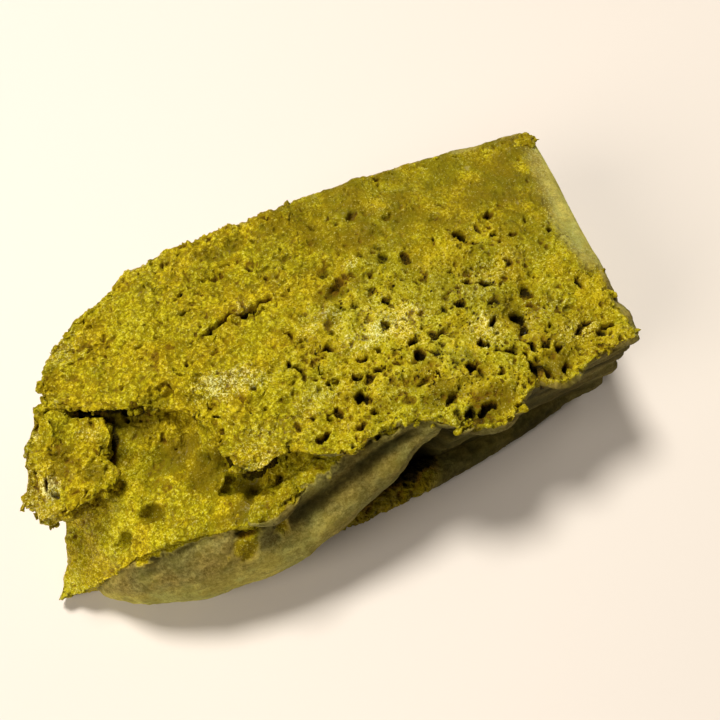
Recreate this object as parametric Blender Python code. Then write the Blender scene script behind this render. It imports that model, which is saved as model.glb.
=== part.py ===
"""Half of a small green steamed loaf cake, torn lengthwise and lying with its crumb up.

The loaf was steamed in a small mould, so its end wall (+X), its bottom (+Y) and the side that
it lies on are smooth skin. Its risen top faces -Y: a fold of skin that climbs to the right over
a dark recess and a thin roll at the foot. The left end is torn, with a low ledge and a loose
lump of crumb on it. Every size is in millimetres and becomes metres when a mesh is made.
"""
import bpy
import bmesh
import numpy as np

MM = 0.001
SEED = 11
LIFT = 0.3                              # clearance of the torn forms over the flat underside
ORIGIN = np.array((-2.93, 0.28, 0.0))   # middle of the footprint, taken off every point

# slab: the main half loaf, its crumb face up
FACE_Z = 33.2                           # height of the torn face at its edges
CROWN = 1.2                             # how much higher it is in the middle
LEFT_FALL = 3.2                         # how far the face falls towards the torn left end
SLAB_FRONT = ((-59.0, 8.0), (-46.2, 0.8), (-34.0, -4.6), (-31.4, -10.0), (-30.2, -17.4), (-26.0, -21.6),
              (-18.0, -21.8), (-12.0, -25.6), (1.0, -25.0), (8.0, -26.6), (13.0, -30.4), (21.6, -33.0),
              (27.2, -29.6), (30.2, -28.4), (36.0, -30.5), (43.0, -28.3), (54.5, -27.0))
SLAB_BACK = ((-52.6, 21.8), (-46.0, 25.6), (-37.0, 29.4), (-10.0, 32.8), (28.0, 32.7), (50.0, 31.2),
             (59.4, 29.6))
SLAB_LEFT = (SLAB_FRONT[0], (-57.6, 13.8), (-55.6, 18.2), SLAB_BACK[0])
SLAB_RIGHT = (SLAB_FRONT[-1], (54.0, -12.0), (56.6, 7.0), (58.6, 20.0), SLAB_BACK[-1])
SHOULDER_OUT = 6.4                      # rounding between the face and the end wall
SHOULDER_DOWN = 11.0
BACK_ROUND = 1.8                        # rounding between the face and the back
FOOT_ROUND = 7.0                        # rounding under the back and the end wall
FRONT_LEAN = 5.5                        # how far the front leans in on its way down
RECESS_DEPTH = 7.5                      # hollow in the front under the fold
RECESS_X = (-24.0, 18.0)
TORN_LEAN = 2.0
UNDERCUT = 2.8                          # depth of the slot under the torn rim
WALL_Y = (-28.8, -27.2)                 # the front's smooth wall below its torn rim, at x = 8 and 54

# ledge: the lower body at the torn left end, sloping down to the front left corner
LEDGE_FRONT = ((-71.4, -19.8), (-62.0, -22.5), (-50.0, -25.0), (-38.0, -27.5), (-29.0, -29.0),
               (-20.0, -27.8), (-6.0, -21.0))
LEDGE_BACK = ((-53.0, 14.0), (-38.0, 15.0), (-6.0, 6.0))
LEDGE_LEFT = (LEDGE_FRONT[0], (-65.5, -11.0), (-62.0, -1.0), LEDGE_BACK[0])
LEDGE_RIGHT = (LEDGE_FRONT[-1], LEDGE_BACK[-1])
CORNER_Z = 4.0                          # height at the front left corner
HUMP_Z = 24.5                           # height of the hump beside the slab
SHELF_Z = 28.5                          # height where it runs into the slab's front edge
BANK = 3.4                              # rise towards the torn wall
RAMP = 7.0                              # rise towards the right end of the torn wall
LIP_CAVITY = (-28.4, -19.8, 5.6, 3.2, 4.5)  # dip under the slab's lip: x, y, half length, half width, depth

# flap: the torn lump of crumb over the ledge's back left corner
FLAP_FRONT = ((-68.4, -7.2), (-64.8, -12.0), (-60.0, -12.4), (-55.5, -11.4), (-51.2, -11.0))
FLAP_BACK = ((-60.4, 10.2), (-54.0, 7.2), (-48.8, 3.6))
FLAP_LEFT = (FLAP_FRONT[0], (-66.0, -4.0), (-64.2, 1.5), FLAP_BACK[0])
FLAP_RIGHT = (FLAP_FRONT[-1], (-50.2, -8.4), (-52.6, -6.0), (-50.0, -3.2), (-48.6, 0.4), FLAP_BACK[-1])
FLAP_Z = (27.5, 30.5)                   # its height at the front and at the back
FLAP_BASE_Z = 17.0                      # its underside, sunk in the ledge where it joins
FLAP_MIDDLE = (-58.5, -1.5)
FLAP_SWELL = 0.8
FLAP_DRAW_IN = 3.5

# fold: the skin of the risen top, lifted off the front and climbing to the right
FOLD_PATH = ((-64.0, -20.5, 4.5), (-52.0, -24.0, 9.5), (-41.0, -26.0, 11.5), (-30.0, -27.0, 14.0),
             (-19.0, -26.0, 17.5), (-8.0, -24.6, 22.0), (3.0, -24.2, 26.0), (12.0, -25.8, 29.3))
FOLD_OUT = (1.5, 5.7, 7.9, 7.6, 7.0, 6.4, 5.2, 2.0)
FOLD_UP = (3.0, 10.0, 11.6, 11.6, 10.8, 9.2, 6.6, 2.5)

# foot roll: the thin edge under the recess and along the right half of the front
ROLL_PATH = ((-26.0, -26.0, 3.4), (-10.0, -26.2, 3.3), (6.0, -26.0, 3.2), (24.0, -24.4, 3.2),
             (40.0, -21.6, 3.4), (52.0, -17.6, 3.8))
ROLL_OUT = 3.6
ROLL_UP = 3.4

# lumps half torn off, between flap and slab and on the shelf: x, y, z and their half sizes
LUMPS = ((-56.9, 11.6, 25.6, 3.0, 3.2, 4.0), (-59.4, 10.6, 24.4, 2.2, 2.4, 2.8),
         (-55.9, 8.8, 26.2, 2.8, 2.4, 2.8), (-59.0, 7.6, 24.6, 2.5, 2.6, 3.0),
         (-24.6, -27.2, 24.6, 5.4, 3.6, 2.4))

# open pores and cracks wide enough to count as shape: x, y, half length, half width, turn, depth
PORES = ((33.3, 10.0, 1.7, 1.4, 0.3, 3.0), (51.6, 2.8, 1.5, 1.1, 0.5, 2.4),
         (29.0, -0.6, 2.0, 1.3, 0.9, 3.2), (32.1, -3.4, 1.9, 0.9, -0.2, 2.6),
         (24.7, -5.5, 1.4, 1.1, 0.0, 2.4), (34.1, -13.0, 1.8, 1.3, 1.2, 3.4),
         (12.2, -13.1, 1.7, 1.3, 0.4, 3.4), (20.3, -19.3, 1.5, 1.2, 0.8, 3.0),
         (33.4, -24.2, 1.9, 1.5, 1.0, 3.0), (-2.8, -16.5, 3.1, 1.1, -0.9, 2.8),
         (-7.5, -12.5, 1.5, 1.1, 0.6, 2.4), (19.2, -27.6, 3.6, 1.4, -0.3, 3.0),
         (-21.0, 9.8, 4.6, 1.0, 0.1, 2.0), (-9.4, 11.1, 3.0, 1.0, 0.5, 2.0))
PITS = ((-47.1, -17.8, 3.3, 1.9, -0.2, 2.6), (-54.5, -19.6, 2.4, 1.5, -0.2, 2.2))


def smooth_step(low, high, value):
    """0 below low and 1 above high, with an s-shaped rise between."""
    t = np.clip((np.asarray(value, float) - low) / (high - low), 0.0, 1.0)
    return t * t * (3.0 - 2.0 * t)


def curve(points, t):
    """A smooth curve through the points, spaced by distance, at parameters t from 0 to 1."""
    points = np.asarray(points, float)
    steps = np.linalg.norm(np.diff(points, axis=0), axis=1)
    knots = np.concatenate(([0.0], np.cumsum(steps))) / steps.sum()
    slopes = np.gradient(points, knots, axis=0)
    cell = np.clip(np.searchsorted(knots, t, side="right") - 1, 0, len(points) - 2)
    width = (knots[cell + 1] - knots[cell])[:, None]
    s = (np.asarray(t, float)[:, None] - knots[cell][:, None]) / width
    start = (1 + 2 * s) * (1 - s) ** 2 * points[cell] + s * (1 - s) ** 2 * width * slopes[cell]
    end = s * s * (3 - 2 * s) * points[cell + 1] + s * s * (s - 1) * width * slopes[cell + 1]
    return start + end


def patch(front, back, left, right, across, along):
    """A four-sided Coons patch: each grid point blends the four edge curves."""
    u = np.linspace(0.0, 1.0, across + 1)
    v = np.linspace(0.0, 1.0, along + 1)
    low, high = curve(front, u)[:, None], curve(back, u)[:, None]
    near, far = curve(left, v)[None], curve(right, v)[None]
    u, v = u[:, None, None], v[None, :, None]
    corners = ((1 - u) * ((1 - v) * low[:1] + v * high[:1]) + u * ((1 - v) * low[-1:] + v * high[-1:]))
    return (1 - v) * low + v * high + (1 - u) * near + u * far - corners


def noise(points, size, seed):
    """Smooth lumps from -1 to 1, one for each cell of the given size."""
    place = np.asarray(points, float) / size
    cell = np.floor(place).astype(np.int64)
    part = place - cell
    part = part * part * (3.0 - 2.0 * part)
    total = np.zeros(place.shape[:-1])
    for corner in np.ndindex(2, 2, 2):
        weight = np.prod(np.where(corner, part, 1.0 - part), axis=-1)
        key = ((cell + corner) * (73856093, 19349663, 83492791)).sum(axis=-1) + seed * 9176
        key = (key ^ (key >> 13)) * 1274126177 & 0x7FFFFFFF
        key = (key ^ (key >> 11)) * 668265263 & 0x7FFFFFFF
        total += weight * ((key >> 7) & 0xFFFF) / 0xFFFF
    return 2.0 * total - 1.0


def make_object(name, points, faces):
    """A mesh object of triangles from points in millimetres."""
    mesh = bpy.data.meshes.new(name)
    mesh.from_pydata(((points - ORIGIN) * MM).tolist(), [], faces)
    shape = bmesh.new()
    shape.from_mesh(mesh)
    bmesh.ops.triangulate(shape, faces=shape.faces)
    shape.to_mesh(mesh)
    shape.free()
    body = bpy.data.objects.new(name, mesh)
    bpy.context.scene.collection.objects.link(body)
    return body


def block(name, top, rows, place_row):
    """A closed block: a grid on top, rows of points down its sides and one flat face below."""
    across, along = top.shape[0] - 1, top.shape[1] - 1
    index = np.arange(top[..., 0].size).reshape(across + 1, along + 1)
    loop = np.concatenate((index[:, 0], index[-1, 1:], index[-2::-1, -1], index[0, -2:0:-1]))
    rim = top.reshape(-1, 3)[loop]
    quads = np.stack((index[:-1, :-1], index[1:, :-1], index[1:, 1:], index[:-1, 1:]), axis=-1)
    faces = quads.reshape(-1, 4).tolist()
    layers, upper = [top.reshape(-1, 3)], loop
    for number, row in enumerate(rows):
        layers.append(place_row(rim, row))
        lower = np.arange(len(loop)) + index.size + number * len(loop)
        faces += np.stack((upper, lower, np.roll(lower, -1), np.roll(upper, -1)), axis=1).tolist()
        upper = lower
    faces.append(upper[::-1].tolist())
    return make_object(name, np.concatenate(layers), faces)


def roll(name, path, out, up, stations, sides):
    """A closed roll: ellipses of half sizes out and up, stood on edge along a path."""
    t = np.linspace(0.0, 1.0, stations)
    centre = curve(path, t)
    ahead = np.gradient(centre, axis=0)
    ahead /= np.linalg.norm(ahead[:, :2], axis=1)[:, None]
    outward = np.stack((ahead[:, 1], -ahead[:, 0], np.zeros(stations)), axis=1)
    marks = np.linspace(0.0, 1.0, len(path))
    out = np.interp(t, marks, np.broadcast_to(out, len(path)))[:, None, None]
    up = np.interp(t, marks, np.broadcast_to(up, len(path)))[:, None, None]
    turn = np.linspace(0.0, 2.0 * np.pi, sides, endpoint=False)[None, :, None]
    down = np.minimum(up, centre[:, None, 2:] - LIFT)
    rise = np.where(np.sin(turn) > 0.0, up, down) * np.sin(turn)
    rings = centre[:, None] + out * np.cos(turn) * outward[:, None] + rise * np.array((0.0, 0.0, 1.0))
    index = np.arange(stations * sides).reshape(stations, sides)
    turned = np.roll(index, -1, axis=1)
    quads = np.stack((index[1:], turned[1:], turned[:-1], index[:-1]), axis=-1).reshape(-1, 4)
    faces = quads.tolist() + [index[0].tolist(), index[-1][::-1].tolist()]
    return make_object(name, rings.reshape(-1, 3), faces)


def quarter_round(drop, radius):
    """How far a rounded edge has swung out, from 0 at the rim to 1 where it stands upright."""
    return np.sqrt(1.0 - np.clip(1.0 - drop / radius, 0.0, 1.0) ** 2)


def foot_inset(height, radius):
    """How far a wall draws in above the flat underside, as a quarter round."""
    return radius * (1.0 - quarter_round(height, radius))


def slab_face(x, y):
    """Height of the torn face: a low crown, a fall to the left and broad lumps."""
    crown = CROWN * np.cos(np.clip(y / 34.0, -1.0, 1.0) * np.pi / 2.0)
    fall = LEFT_FALL * smooth_step(-28.0, -58.0, x)
    spot = np.stack((x, y, np.zeros_like(x)), axis=-1)
    return FACE_Z + crown - fall + 0.7 * noise(spot, 15.0, SEED) + 0.4 * noise(spot, 6.0, SEED + 1)


def slab_row(rim, row):
    """Side of the slab: shoulder at +X, small round at +Y, lean and recess at -Y.

    Each row shifts the rim by a field that grows from the middle outwards, so rows never cross.
    The torn rim overhangs a slot above the ledge, and right of the fold the wall below it is smooth.
    """
    x, y, top = rim.T
    height = top * (1.0 - row)
    drop = top - height
    foot = foot_inset(height, FOOT_ROUND)
    width = SHOULDER_OUT * smooth_step(-34.0, -8.0, y)
    shoulder = width * quarter_round(drop, SHOULDER_DOWN)
    edge = BACK_ROUND * quarter_round(drop, BACK_ROUND)
    recess = smooth_step(RECESS_X[0], RECESS_X[0] + 8.0, x) * smooth_step(RECESS_X[1], RECESS_X[1] - 8.0, x)
    hollow = np.maximum(recess * RECESS_DEPTH * smooth_step(0.0, 12.0, drop), FRONT_LEAN * drop / FACE_Z)
    spot = np.column_stack((x, y, height))
    crag = 0.9 * noise(spot, 6.0, SEED + 2) * np.sin(np.pi * row)
    beneath = smooth_step(0.3, 2.2, drop) * smooth_step(9.0, 4.0, drop)
    torn = smooth_step(-60.0, -54.0, x) * smooth_step(-15.0, -18.0, x) * smooth_step(11.0, 6.0, y)
    shift_x = smooth_step(5.0, 58.0, x) * (shoulder - foot)
    shift_x += smooth_step(-15.0, -55.0, x) * (TORN_LEAN * row + crag)
    shift_y = smooth_step(0.0, 28.0, y) * (edge - foot) + smooth_step(0.0, -26.0, y) * hollow
    shift_y += UNDERCUT * beneath * torn
    wall = WALL_Y[0] + (WALL_Y[1] - WALL_Y[0]) * (x - 8.0) / 46.0
    smooth = smooth_step(0.5, 11.0, drop) * smooth_step(-22.0, -26.0, y) * smooth_step(2.0, 10.0, x)
    return np.column_stack((x + shift_x, y + shift_y + smooth * (wall - y), height))


def ledge_face(x, y):
    """Height of the ledge: up from the front left corner to a hump, then on to the slab.

    It dips into a shallow valley, climbs a bank at the foot of the torn wall, runs up a ramp at
    the wall's right end and has a cavity under the slab's lip.
    """
    climb = smooth_step(-74.0, -46.0, x + 0.35 * (y + 19.0))
    shelf = smooth_step(-38.0, -18.0, x) * smooth_step(-8.0, -20.0, y)
    spot = np.stack((x, y, np.zeros_like(x)), axis=-1)
    behind = (12.6 * (x + 59.0) + 26.0 * (y - 8.0)) / 28.9      # distance behind the torn wall
    valley = 1.2 * smooth_step(-16.0, -11.0, behind) * smooth_step(-5.0, -9.0, behind)
    bank = BANK * smooth_step(-9.0, -1.0, behind) * smooth_step(-57.0, -47.0, x) * smooth_step(-9.0, -3.0, y)
    ramp = RAMP * smooth_step(-37.0, -30.5, x) * smooth_step(-17.0, -10.0, y)
    aside, beyond = (x - LIP_CAVITY[0]) / LIP_CAVITY[2], (y - LIP_CAVITY[1]) / LIP_CAVITY[3]
    cavity = LIP_CAVITY[4] * np.clip(1.0 - aside ** 2 - beyond ** 2, 0.0, 1.0)
    rise = CORNER_Z + (HUMP_Z - CORNER_Z) * climb + (SHELF_Z - HUMP_Z) * shelf
    slope = (np.maximum(bank, ramp) - valley) * climb
    return rise + slope - cavity + 0.7 * noise(spot, 8.0, SEED + 3)


def ledge_row(rim, row):
    """Side of the ledge, nearly upright, with torn lumps and a rounded foot."""
    x, y, top = rim.T
    height = LIFT + (top - LIFT) * (1.0 - row)
    spot = np.column_stack((x, y, height))
    shift = 0.8 * noise(spot, 7.0, SEED + 4) * np.sin(np.pi * row) + foot_inset(height, 2.0)
    return np.column_stack((x + shift * smooth_step(-40.0, -62.0, x), y + 2.0 * row, height))


def flap_face(x, y):
    """Height of the flap, a lumpy plane that falls towards the front."""
    spot = np.stack((x, y, np.zeros_like(x)), axis=-1)
    plane = FLAP_Z[0] + (FLAP_Z[1] - FLAP_Z[0]) * smooth_step(-12.0, 8.0, y)
    return plane + 0.9 * noise(spot, 5.0, SEED + 5)


def flap_row(rim, row):
    """Side of the flap: it swells below its rim and draws in towards its base."""
    x, y, top = rim.T
    height = FLAP_BASE_Z + (top - FLAP_BASE_Z) * (1.0 - row)
    swell = FLAP_SWELL * np.sin(np.pi * min(row * 1.6, 1.0)) - FLAP_DRAW_IN * row * row
    middle = np.array(FLAP_MIDDLE)
    spread = 1.0 + swell / 10.0 + 0.08 * noise(rim + (0.0, 0.0, 9.0 * row), 4.0, SEED + 6)
    return np.column_stack((middle + (rim[:, :2] - middle) * spread[:, None], height))


def face_grid(edges, across, along, height):
    """The top grid of a block: its plan patch lifted by its height function."""
    plan = patch(*edges, across, along)
    return np.concatenate((plan, height(plan[..., 0], plan[..., 1])[..., None]), axis=-1)


def ball():
    """Points and faces of a ball of radius 1."""
    mesh = bmesh.new()
    bmesh.ops.create_icosphere(mesh, subdivisions=2, radius=1.0)
    points = np.array([corner.co[:] for corner in mesh.verts])
    faces = [[corner.index for corner in side.verts] for side in mesh.faces]
    mesh.free()
    return points, faces


def lump_bodies():
    """Uneven ellipsoids, one for each lump."""
    bodies = []
    for number, (x, y, z, length, width, height) in enumerate(LUMPS):
        points, faces = ball()
        points = points * (length, width, height) + (x, y, z)
        spread = 1.0 + 0.1 * noise(points, 2.5, SEED + 7)
        points = (points - (x, y, z)) * spread[:, None] + (x, y, z)
        bodies.append(make_object(f"lump_{number}", points, faces))
    return bodies


def pore_cutters(face, pores):
    """Low ellipsoids sunk into a face, one for each pore."""
    cutters = []
    for number, (x, y, length, width, turn, depth) in enumerate(pores):
        points, faces = ball()
        points = points * (length, width, depth)
        along = np.array((np.cos(turn), np.sin(turn), 0.0))
        aside = np.array((-np.sin(turn), np.cos(turn), 0.0))
        points = points[:, :1] * along + points[:, 1:2] * aside + points[:, 2:] * (0.0, 0.0, 1.0)
        top = float(face(np.array(x), np.array(y)))
        cutters.append(make_object(f"pore_{number}", points + (x, y, top), faces))
    return cutters


def gather(name, members):
    """Move objects into a collection of their own."""
    group = bpy.data.collections.new(name)
    bpy.context.scene.collection.children.link(group)
    for member in members:
        bpy.context.scene.collection.objects.unlink(member)
        group.objects.link(member)
    return group


def apply_boolean(body, group, operation, solver):
    """Join or cut with a whole collection, keep the result and remove the collection."""
    modifier = body.modifiers.new(operation.lower(), "BOOLEAN")
    modifier.operation = operation
    modifier.operand_type = "COLLECTION"
    modifier.collection = group
    modifier.solver = solver
    graph = bpy.context.evaluated_depsgraph_get()
    result = bpy.data.meshes.new_from_object(body.evaluated_get(graph))
    body.modifiers.clear()
    body.data = result
    for member in list(group.objects):
        bpy.data.objects.remove(member)
    bpy.data.collections.remove(group)


def keep_largest_piece(body):
    """Drop any loose scrap that the cuts left."""
    mesh = bmesh.new()
    mesh.from_mesh(body.data)
    seen, pieces = set(), []
    for start in mesh.verts:
        if start in seen:
            continue
        piece, waiting = [], [start]
        seen.add(start)
        while waiting:
            corner = waiting.pop()
            piece.append(corner)
            for edge in corner.link_edges:
                other = edge.other_vert(corner)
                if other not in seen:
                    seen.add(other)
                    waiting.append(other)
        pieces.append(piece)
    pieces.sort(key=len)
    bmesh.ops.delete(mesh, geom=[corner for piece in pieces[:-1] for corner in piece], context="VERTS")
    mesh.to_mesh(body.data)
    mesh.free()


def crumb_material():
    """Moist green crumb."""
    material = bpy.data.materials.new("green_crumb")
    material.use_nodes = True
    shader = material.node_tree.nodes["Principled BSDF"]
    shader.inputs["Base Color"].default_value = (0.30, 0.24, 0.02, 1.0)
    shader.inputs["Roughness"].default_value = 0.6
    shader.inputs["Metallic"].default_value = 0.0
    material.diffuse_color = (0.30, 0.24, 0.02, 1.0)
    return material


def build_cake():
    """Join the forms into one solid."""
    slab_edges = (SLAB_FRONT, SLAB_BACK, SLAB_LEFT, SLAB_RIGHT)
    ledge_edges = (LEDGE_FRONT, LEDGE_BACK, LEDGE_LEFT, LEDGE_RIGHT)
    flap_edges = (FLAP_FRONT, FLAP_BACK, FLAP_LEFT, FLAP_RIGHT)
    slab_rows = (0.03, 0.08, 0.16, 0.27, 0.4, 0.55, 0.7, 0.8, 0.88, 0.94, 0.98, 1.0)
    cake = block("cake", face_grid(slab_edges, 52, 24, slab_face), slab_rows, slab_row)
    ledge = block("ledge", face_grid(ledge_edges, 30, 14, ledge_face),
                  (0.1, 0.3, 0.55, 0.8, 0.93, 1.0), ledge_row)
    flap = block("flap", face_grid(flap_edges, 12, 12, flap_face),
                 (0.1, 0.25, 0.45, 0.7, 0.9, 1.0), flap_row)
    fold = roll("fold", FOLD_PATH, FOLD_OUT, FOLD_UP, 40, 20)
    foot = roll("foot", ROLL_PATH, ROLL_OUT, ROLL_UP, 36, 12)
    apply_boolean(cake, gather("forms", [ledge, flap, fold, foot] + lump_bodies()), "UNION", "EXACT")
    cutters = pore_cutters(slab_face, PORES) + pore_cutters(ledge_face, PITS)
    apply_boolean(cake, gather("pores", cutters), "DIFFERENCE", "EXACT")
    keep_largest_piece(cake)
    cake.data.materials.clear()
    cake.data.materials.append(crumb_material())
    cake.data.shade_smooth()
    cake.data.set_sharp_from_angle(angle=np.radians(50.0))
    return cake


def main():
    for old in list(bpy.data.objects):
        bpy.data.objects.remove(old)
    build_cake()


main()
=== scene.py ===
"""Looks of the torn half of a green steamed loaf cake: porous crumb, thin skin and clinging crumbs.

The forms repeat the solid's own formulas on fine grids, and every torn surface is then opened by
bubbles of several sizes. Sizes in the formulas are millimetres, and a mesh is written in metres.
"""
import math

import bpy
import numpy as np
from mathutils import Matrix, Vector


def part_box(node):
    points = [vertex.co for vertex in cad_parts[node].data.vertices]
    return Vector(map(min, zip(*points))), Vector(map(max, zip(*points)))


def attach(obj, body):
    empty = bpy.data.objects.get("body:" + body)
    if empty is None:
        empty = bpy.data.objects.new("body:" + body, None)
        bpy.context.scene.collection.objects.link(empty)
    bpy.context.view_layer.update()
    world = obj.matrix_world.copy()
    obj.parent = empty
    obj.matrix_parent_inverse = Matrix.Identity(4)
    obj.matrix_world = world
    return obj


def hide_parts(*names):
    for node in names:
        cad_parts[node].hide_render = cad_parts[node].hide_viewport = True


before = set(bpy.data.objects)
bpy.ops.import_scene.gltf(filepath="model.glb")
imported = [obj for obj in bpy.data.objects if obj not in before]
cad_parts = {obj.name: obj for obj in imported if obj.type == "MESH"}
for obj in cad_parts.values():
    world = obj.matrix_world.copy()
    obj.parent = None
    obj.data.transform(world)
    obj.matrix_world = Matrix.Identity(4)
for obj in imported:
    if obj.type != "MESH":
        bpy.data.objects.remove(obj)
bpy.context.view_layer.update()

bl_info = {
    "name": "Steamed cake half",
    "version": (1, 0, 0),
    "blender": (4, 5, 0),
    "location": "3D View > Sidebar > Cake",
    "description": "Builds the torn half of a green steamed loaf cake",
    "category": "Object",
}

MM = 0.001
SEED = 11
CELL_PRIMES = (73856093, 19349663, 83492791)
# the hollow layer carries painted shade, the stain layer moist patches and painted shade, the pale layer
# painted light and glints
LAYERS = ("skin", "hollow", "stain", "pale", "foam")    # a mesh's own values, read by its finish
SIDE_ROWS = np.linspace(0.0, 1.0, 41)[1:]   # rows down a torn side, as shares of its height
LIFT = 0.3                              # clearance of the torn forms over the flat underside
ORIGIN = np.array((-2.93, 0.28, 0.0))   # middle of the footprint, taken off every point
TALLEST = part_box("cake")[1][2] / MM     # highest point of the solid

# slab: the main half loaf, its crumb face up
SLAB_SPAN = (118.0, 57.0)               # length and width, which set the number of points
FACE_Z = 33.2
CROWN = 1.2
LEFT_FALL = 3.2
SLAB_FRONT = ((-59.0, 8.0), (-46.2, 0.8), (-34.0, -4.6), (-31.4, -10.0), (-30.2, -17.4), (-26.0, -21.6),
              (-18.0, -21.8), (-12.0, -25.6), (1.0, -25.0), (8.0, -26.6), (13.0, -30.4), (21.6, -33.0),
              (27.2, -29.6), (30.2, -28.4), (36.0, -30.5), (43.0, -28.3), (54.5, -27.0))
SLAB_BACK = ((-52.6, 21.8), (-46.0, 25.6), (-37.0, 29.4), (-10.0, 32.8), (28.0, 32.7), (50.0, 31.2),
             (59.4, 29.6))
SLAB_LEFT = (SLAB_FRONT[0], (-57.6, 13.8), (-55.6, 18.2), SLAB_BACK[0])
SLAB_RIGHT = (SLAB_FRONT[-1], (54.0, -12.0), (56.6, 7.0), (58.6, 20.0), SLAB_BACK[-1])
SHOULDER_OUT = 6.4
SHOULDER_DOWN = 11.0
BACK_ROUND = 1.8
FOOT_ROUND = 7.0
FRONT_LEAN = 5.5
RECESS_DEPTH = 7.5
RECESS_X = (-24.0, 18.0)
TORN_LEAN = 2.0
UNDERCUT = 2.8                          # depth of the dark slot under the torn rim
WALL_Y = (-28.8, -27.2)

# ledge: the lower body at the torn left end
LEDGE_SPAN = (64.0, 28.0)
LEDGE_FRONT = ((-71.4, -19.8), (-62.0, -22.5), (-50.0, -25.0), (-38.0, -27.5), (-29.0, -29.0),
               (-20.0, -27.8), (-6.0, -21.0))
LEDGE_BACK = ((-53.0, 14.0), (-38.0, 15.0), (-6.0, 6.0))
LEDGE_LEFT = (LEDGE_FRONT[0], (-65.5, -11.0), (-62.0, -1.0), LEDGE_BACK[0])
LEDGE_RIGHT = (LEDGE_FRONT[-1], LEDGE_BACK[-1])
CORNER_Z = 4.0
HUMP_Z = 24.5
SHELF_Z = 28.5
BANK = 3.4
RAMP = 7.0
LIP_CAVITY = (-28.4, -19.8, 5.6, 3.2, 4.5)  # x, y, half length, half width, depth

# flap: the torn lump of crumb over the ledge
FLAP_SPAN = (20.0, 17.0)
FLAP_FRONT = ((-68.4, -7.2), (-64.8, -12.0), (-60.0, -12.4), (-55.5, -11.4), (-51.2, -11.0))
FLAP_BACK = ((-60.4, 10.2), (-54.0, 7.2), (-48.8, 3.6))
FLAP_LEFT = (FLAP_FRONT[0], (-66.0, -4.0), (-64.2, 1.5), FLAP_BACK[0])
FLAP_RIGHT = (FLAP_FRONT[-1], (-50.2, -8.4), (-52.6, -6.0), (-50.0, -3.2), (-48.6, 0.4), FLAP_BACK[-1])
FLAP_Z = (27.5, 30.5)
FLAP_BASE_Z = 17.0
FLAP_MIDDLE = (-58.5, -1.5)
FLAP_SWELL = 0.8
FLAP_DRAW_IN = 3.5

# fold: the skin of the risen top, climbing to the right
FOLD_SPAN = (84.0, 50.0)                # length and girth
FOLD_PATH = ((-64.0, -20.5, 4.5), (-52.0, -24.0, 9.5), (-41.0, -26.0, 11.5), (-30.0, -27.0, 14.0),
             (-19.0, -26.0, 17.5), (-8.0, -24.6, 22.0), (3.0, -24.2, 26.0), (12.0, -25.8, 29.3))
FOLD_OUT = (1.5, 5.7, 7.9, 7.6, 7.0, 6.4, 5.2, 2.0)
FOLD_UP = (3.0, 10.0, 11.6, 11.6, 10.8, 9.2, 6.6, 2.5)
FOLD_CAP = 0.04                         # share of the length over which an end is rounded off

# foot roll: the thin edge under the recess
ROLL_SPAN = (80.0, 22.0)
ROLL_PATH = ((-26.0, -26.0, 3.4), (-10.0, -26.2, 3.3), (6.0, -26.0, 3.2), (24.0, -24.4, 3.2),
             (40.0, -21.6, 3.4), (52.0, -17.6, 3.8))
ROLL_OUT = 3.6
ROLL_UP = 3.4
ROLL_CAP = 0.03

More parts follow.
